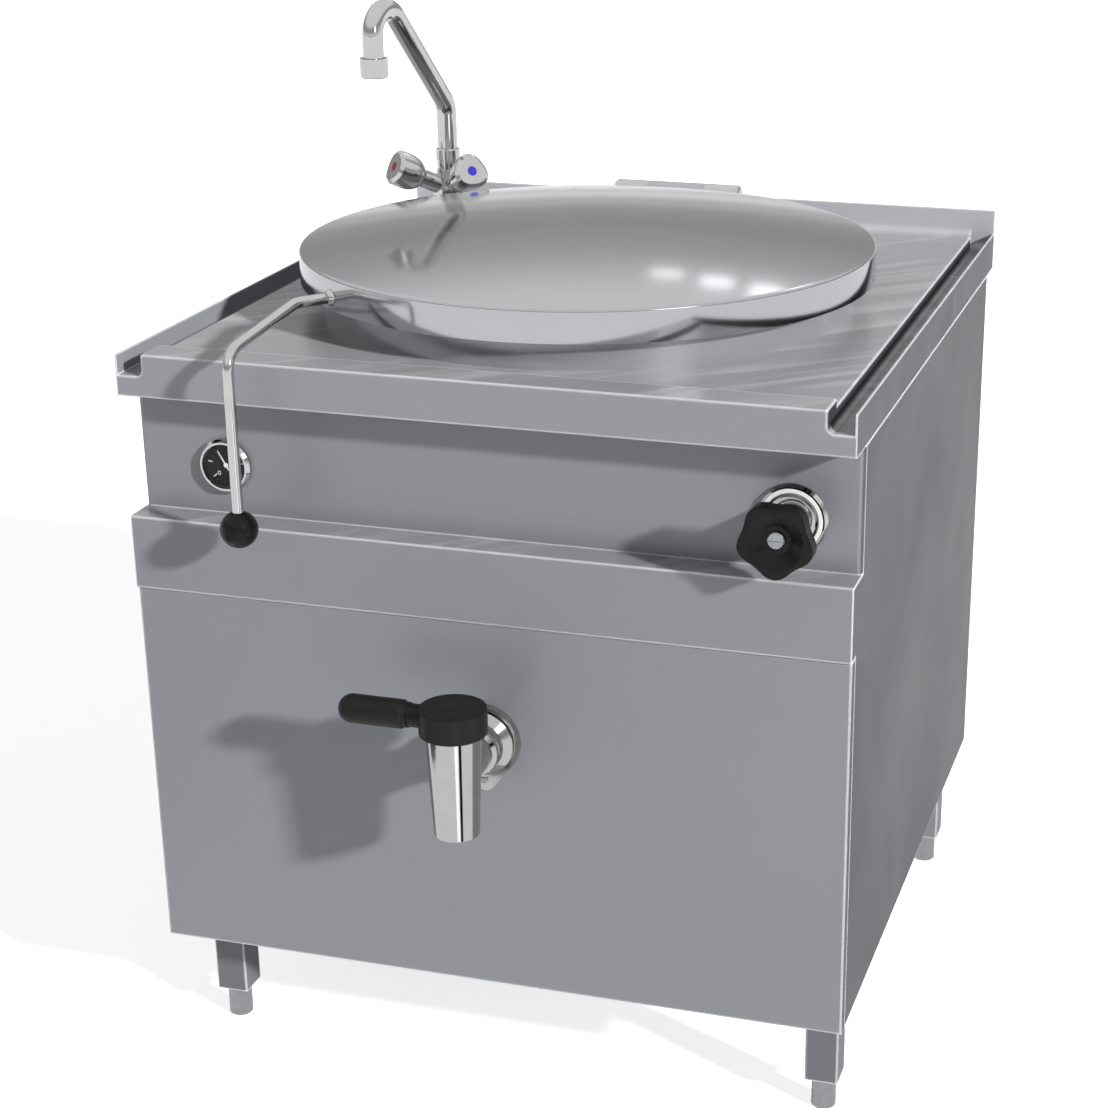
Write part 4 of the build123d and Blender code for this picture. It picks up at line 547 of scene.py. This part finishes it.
# the ball has a flat hole for the bar's end, with a narrow slanting rim
ball = {
    "diameter": 40.0, "height": 682.0, "socket": 8.0, "socketGap": 0.05, "floorGap": 0.3,
    "rimWidth": 0.5, "rimDepth": 0.4, "steps": 40,
}
# the weld bead where the bar meets the skirt, as an outline of (radius, height)
weld = {
    "outline": ((6.05, 4.6), (7.0, 4.0), (8.2, 2.4), (9.0, 0.8), (9.2, -0.4), (6.05, -0.4)), "steps": 48,
}


def barPath():
    ray = Vector((cos(radians(bar["rootAngle"])), sin(radians(bar["rootAngle"])), 0))
    root = Vector((0, potCentreY, bar["rootHeight"])) + ray * (lid["radius"] + bar["rootGap"])
    points = [root, root + ray * bar["reach"], Vector((bar["turnX"], bar["turnY"], bar["turnHeight"])),
              Vector((bar["turnX"], bar["turnY"], ball["height"] + ball["socket"]))]
    return [at(*p) for p in roundedLine(points, [bar["bend"]] * 2, bar["bendSteps"])]


def ballOutline():
    radius, neck = ball["diameter"] / 2, bar["diameter"] / 2 + ball["socketGap"]
    holeFloor = ball["socket"] - ball["floorGap"]
    rim = sqrt(radius ** 2 - neck ** 2)
    first = pi / 2 - neck / radius
    line = [(0.0, holeFloor), (neck, holeFloor), (neck, rim - ball["rimDepth"]),
            (neck + ball["rimWidth"], rim)]
    for i in range(1, ball["steps"]):
        angle = first + (-pi / 2 - first) * i / ball["steps"]
        line.append((radius * cos(angle), radius * sin(angle)))
    return line + [(0.0, -radius), (0.0, -radius + 0.01)]  # the last two close the ball's lowest point


barLine = barPath()
barPiece = barMesh("lidBar", barLine, bar["diameter"] / 2, bar["sides"])
finishPiece(barPiece, "lidBar", chrome, "lid", ["lid_handle_rod"])
ballPlace = at(bar["turnX"], bar["turnY"], ball["height"])
ballMesh = turnedMesh("ballGrip", ballOutline(), ballPlace, closed=False)
finishPiece(ballMesh, "ballGrip", phenolic, "lid", ["lid_handle_knob"])
weldRay = (barLine[1] - barLine[0]).normalized()
weldMesh = turnedMesh("barWeld", weld["outline"], barLine[0], weldRay, weld["steps"])
finishPiece(weldMesh, "barWeld", chrome, "lid")
print("bar, ball and weld made")

# gauge: flat ticks with rounded ends that stand a hair off the dial, angles in degrees
dial = {
    "x": -300.0, "front": 42.0, "height": 722.0, "lift": 0.12, "ticks": (172.0, 222.0, 8.0, -42.0),
    "tickStart": 17.0, "tickEnd": 21.5, "tickWidth": 1.1, "endSteps": 8,
}


def dialTick(degrees):
    angle, half = radians(degrees), dial["tickWidth"] / 2
    ray, side = Vector((cos(angle), 0, sin(angle))), Vector((-sin(angle), 0, cos(angle)))
    outline = []
    for middle, turn in ((dial["tickEnd"], -pi / 2), (dial["tickStart"], pi / 2)):
        for step in range(dial["endSteps"] + 1):
            a = turn + pi * step / dial["endSteps"]
            outline.append(ray * (middle + half * cos(a)) + side * (half * sin(a)))
    count = len(outline)
    base = Vector((dial["x"], dial["front"] - dial["lift"], dial["height"]))
    face = [base + p for p in outline]
    foot = [p + Vector((0, dial["lift"], 0)) for p in face]
    faces = [tuple(range(count)), tuple(reversed(range(count, 2 * count)))]
    faces += [(i, (i + 1) % count, count + (i + 1) % count, count + i) for i in range(count)]
    return [at(*p) for p in face + foot], faces


def dialTicks():
    points, faces = [], []
    for place, faceList in map(dialTick, dial["ticks"]):
        faces += [tuple(i + len(points) for i in face) for face in faceList]
        points += place
    return meshFrom("gaugeTicks", points, faces)


finishPiece(dialTicks(), "gaugeTicks", whiteEnamel, "cabinet")

# zero beside the lower left tick: a ring drawn out upwards
zero = {"x": -309.3, "height": 712.2, "inner": 1.25, "outer": 1.9, "stretch": 1.3, "steps": 40}
zeroOutline = [(zero["inner"], 0.0), (zero["outer"], 0.0), (zero["outer"], dial["lift"]),
               (zero["inner"], dial["lift"])]
zeroMesh = turnedMesh("gaugeNumeral", zeroOutline, Vector((0, 0, 0)), (0, -1, 0), zero["steps"])
zeroPlace = Matrix.Translation(at(zero["x"], dial["front"], zero["height"]))
zeroMesh.transform(zeroPlace @ Matrix.Diagonal((1, 1, zero["stretch"], 1)))
finishPiece(zeroMesh, "gaugeNumeral", whiteEnamel, "cabinet")

# steam valve: a white ring in the escutcheon's groove, on a thinner black one that is a little wider
valve = {
    "x": 327.0, "front": 42.0, "height": 721.0, "groove": 5.0,
    "ringInner": 28.8, "ringOuter": 33.2, "ringThickness": 0.5, "ringRound": 0.2,
    "seatInside": 0.6, "seatOutside": 0.5, "seatThickness": 0.2, "seatRound": 0.1,
}


def flatRing(name, inner, outer, thickness, rounding):
    # a thin ring whose outer edge is softly rounded by two short lines
    inset = rounding * 0.3
    line = [(inner, 0), (inner, thickness), (outer - rounding, thickness),
            (outer - inset, thickness - inset), (outer, thickness - rounding), (outer, 0)]
    middle = at(valve["x"], valve["front"] - valve["groove"], valve["height"])
    return turnedMesh(name, line, middle, (0, -1, 0))


valveRing = flatRing("valveRing", valve["ringInner"], valve["ringOuter"], valve["ringThickness"],
                     valve["ringRound"])
finishPiece(valveRing, "valveRing", whiteEnamel, "cabinet")
valveSeat = flatRing("valveRingSeat", valve["ringInner"] - valve["seatInside"],
                     valve["ringOuter"] + valve["seatOutside"], valve["seatThickness"], valve["seatRound"])
finishPiece(valveSeat, "valveRingSeat", dialEnamel, "cabinet")

# mixer tap: low coloured dots on the knobs, as an outline of (radius, height)
tap = {
    "x": -325.0, "y": 780.0, "plate": 842.0, "knobRise": 75.0, "knobReach": 78.0, "tilt": 25.0,
    "dotOutline": ((0.0, -0.4), (0.0, 0.35), (5.3, 0.3), (6.3, 0.1), (6.5, -0.4)), "dotSteps": 48,
}


def knobDot(name, side, material, body):
    # side is -1 for the left knob and 1 for the right one; both look forwards, outwards and up
    tilt = radians(tap["tilt"])
    out = sin(pi / 4) * cos(tilt)
    axis = Vector((side * out, -out, sin(tilt)))
    foot = Vector((tap["x"], tap["y"], tap["plate"] + tap["knobRise"] - tap["knobReach"] * tan(tilt)))
    face = foot + axis * (tap["knobReach"] / cos(tilt))
    dotMesh = turnedMesh(name, tap["dotOutline"], at(*face), axis, tap["dotSteps"])
    finishPiece(dotMesh, name, material, body)


knobDot("hotDot", -1, redEnamel, "hot_tap")
knobDot("coldDot", 1, blueEnamel, "cold_tap")
print("dial, ring and dots made")

# camera: place in mm from the worktop's front edge, turns in radians, focal length and centre in pixels
view = {
    "place": (828.24, -2116.70, 1490.03), "yaw": -0.2809, "pitch": -0.3729, "focal": 2318.46,
    "centre": (676.46, 607.80), "imageSize": 1108.0, "sensor": 36.0, "nearest": 0.05,
}
cameraData = bpy.data.cameras.new("camera")
cameraData.sensor_width = view["sensor"]
cameraData.lens = view["sensor"] * view["focal"] / view["imageSize"]
cameraData.shift_x = -(view["centre"][0] - view["imageSize"] / 2) / view["imageSize"]
cameraData.shift_y = (view["centre"][1] - view["imageSize"] / 2) / view["imageSize"]
cameraData.clip_start = view["nearest"]
camera = bpy.data.objects.new("camera", cameraData)
camera.location = at(*view["place"])
camera.rotation_euler = (pi / 2 + view["pitch"], 0, -view["yaw"])
scene.collection.objects.link(camera)
scene.camera = camera

# floor, air and key lamp; a mirror level is (sine of the height angle, brightness), from nadir to zenith
stageLook = {
    "floorSize": 60.0, "floorColour": "#F2F2F2", "glow": 0.72, "mirrorGlow": 0.25,
    "airStrength": 0.3, "airColour": "#F4F5F8",
    "mirrorLevels": ((-1.0, 0.7), (0.0, 0.6), (0.03, 1.0), (0.06, 0.58), (0.098, 0.46), (0.106, 0.9),
                     (0.113, 0.42), (0.22, 0.36), (0.34, 0.5), (0.47, 0.9), (1.0, 0.9)),
    "keyDirection": (0.824, -0.401, 0.401), "keyStrength": 4.6, "keyAngle": 3.5,
}


def paleFloor():
    # Pale matt paint: it takes the machine's shadow, and camera and mirrors see it brighter than it is lit
    material, tree = newMaterial("paleFloor")
    rays = addNode(tree, "ShaderNodeLightPath")
    seen = addNode(tree, "ShaderNodeMath", {"operation": "MAXIMUM"},
                   {0: (rays, "Is Camera Ray"), 1: (rays, "Is Transmission Ray")})
    mirrored = addNode(tree, "ShaderNodeMath", {"operation": "MULTIPLY", 1: stageLook["mirrorGlow"]},
                       {0: (rays, "Is Glossy Ray")})
    strength = addNode(tree, "ShaderNodeMath", {"operation": "MULTIPLY_ADD", 1: stageLook["glow"]},
                       {0: (seen, 0), 2: (mirrored, 0)})
    paintLayer = addNode(tree, "ShaderNodeBsdfDiffuse",
                         {"Color": (*linearColour(stageLook["floorColour"]), 1)})
    glow = addNode(tree, "ShaderNodeEmission", {"Color": (1, 1, 1, 1)}, {"Strength": (strength, 0)})
    both = addNode(tree, "ShaderNodeAddShader", {}, {0: (paintLayer, 0), 1: (glow, 0)})
    addNode(tree, "ShaderNodeOutputMaterial", {}, {"Surface": (both, 0)})
    return material


half = stageLook["floorSize"] / 2
floorCorners = [(-half, -half, 0), (half, -half, 0), (half, half, 0), (-half, half, 0)]
floorMesh = meshFrom("floor", floorCorners, [(0, 1, 2, 3)])
floorMesh.materials.append(paleFloor())
floor = bpy.data.objects.new("floor", floorMesh)
scene.collection.objects.link(floor)

# the air lights everything evenly; mirror rays see its bands and the camera sees plain white
world = bpy.data.worlds.new("studio")
scene.world = world
world.use_nodes = True
worldTree = world.node_tree
worldTree.nodes.clear()
heading = addNode(worldTree, "ShaderNodeTexCoord")
heights = addNode(worldTree, "ShaderNodeSeparateXYZ", {}, {0: (heading, "Generated")})
upShare = addNode(worldTree, "ShaderNodeMapRange", {"From Min": -1.0, "From Max": 1.0},
                  {"Value": (heights, 2)})
bands = addNode(worldTree, "ShaderNodeValToRGB", {}, {0: (upShare, 0)})
for height, level in stageLook["mirrorLevels"][1:-1]:
    bands.color_ramp.elements.new((height + 1) / 2)
for stop, (height, level) in zip(bands.color_ramp.elements, stageLook["mirrorLevels"]):
    stop.color = (level, level, level, 1)
rays = addNode(worldTree, "ShaderNodeLightPath")
airLight = {"Color": (*linearColour(stageLook["airColour"]), 1), "Strength": stageLook["airStrength"]}
even = addNode(worldTree, "ShaderNodeBackground", airLight)
banded = addNode(worldTree, "ShaderNodeBackground", {"Strength": 1.0}, {"Color": (bands, 0)})
litAir = addNode(worldTree, "ShaderNodeMixShader", {},
                 {0: (rays, "Is Glossy Ray"), 1: (even, 0), 2: (banded, 0)})
backdrop = addNode(worldTree, "ShaderNodeBackground", {"Color": (1, 1, 1, 1), "Strength": 1.0})
air = addNode(worldTree, "ShaderNodeMixShader", {},
              {0: (rays, "Is Camera Ray"), 1: (litAir, 0), 2: (backdrop, 0)})
addNode(worldTree, "ShaderNodeOutputWorld", {}, {"Surface": (air, 0)})

sun = bpy.data.lights.new("keyLamp", "SUN")
sun.energy = stageLook["keyStrength"]
sun.angle = radians(stageLook["keyAngle"])
sunHolder = bpy.data.objects.new("keyLamp", sun)
sunHolder.rotation_euler = Vector(stageLook["keyDirection"]).to_track_quat("Z", "Y").to_euler()
sunHolder.visible_glossy = False
scene.collection.objects.link(sunHolder)


def mirrorCard(name, middle, facing, width, height, level):
    # a card that only mirror rays see, in metres; it stands at middle and looks at the point facing
    material, tree = newMaterial(name)
    glow = addNode(tree, "ShaderNodeEmission", {"Color": (level, level, level, 1), "Strength": 1.0})
    addNode(tree, "ShaderNodeOutputMaterial", {}, {"Surface": (glow, 0)})
    ahead = (Vector(facing) - Vector(middle)).normalized()
    across = Vector((0, 0, 1)).cross(ahead).normalized() * width / 2
    up = ahead.cross(across).normalized() * height / 2
    corners = [Vector(middle) + across * i + up * j for i, j in ((-1, -1), (1, -1), (1, 1), (-1, 1))]
    mesh = meshFrom(name, corners, [(0, 1, 2, 3)])
    mesh.materials.append(material)
    card = bpy.data.objects.new(name, mesh)
    scene.collection.objects.link(card)
    card.visible_camera = card.visible_diffuse = card.visible_shadow = card.visible_transmission = False


# a dark stripe, a glint and a shaded left side for the drain cock's spout
spoutCards = {
    "spoutStripe": {"middle": (0.43, -0.863, 0.3), "facing": (0.0, -0.4465, 0.3), "width": 0.12,
                    "height": 0.6, "level": 0.0},
    "spoutGlint": {"middle": (0.31, -0.98, 0.3), "facing": (0.0, -0.4465, 0.3), "width": 0.15,
                   "height": 0.6, "level": 2.0},
    "spoutShade": {"middle": (-0.85, -0.72, 0.18), "facing": (0.0, -0.4465, 0.36), "width": 0.55,
                   "height": 0.34, "level": 0.13},
}
# a row of window panes for the lid, each lower and shorter than the last
panes = {
    "count": 4, "first": (-0.16, 3.4, 2.72), "step": (-0.21, 0.0, -0.05), "facing": (0.1, -0.2, 0.93),
    "width": 0.13, "height": 0.24, "heightStep": -0.05, "level": 2.4,
}
# a soft box that gives the ball and the wheel a highlight
softBox = {
    "middle": (1.83, -1.53, 1.77), "facing": (0.0, -0.42, 0.65), "width": 0.7, "height": 0.7, "level": 3.5,
}
for name, card in spoutCards.items():
    mirrorCard(name, **card)
for index in range(panes["count"]):
    middle = [start + step * index for start, step in zip(panes["first"], panes["step"])]
    height = panes["height"] + panes["heightStep"] * index
    mirrorCard(f"pane{index}", middle, panes["facing"], panes["width"], height, panes["level"])
mirrorCard("softBox", **softBox)
print("stage, lamps and camera set")

scene.view_settings.view_transform = "Standard"
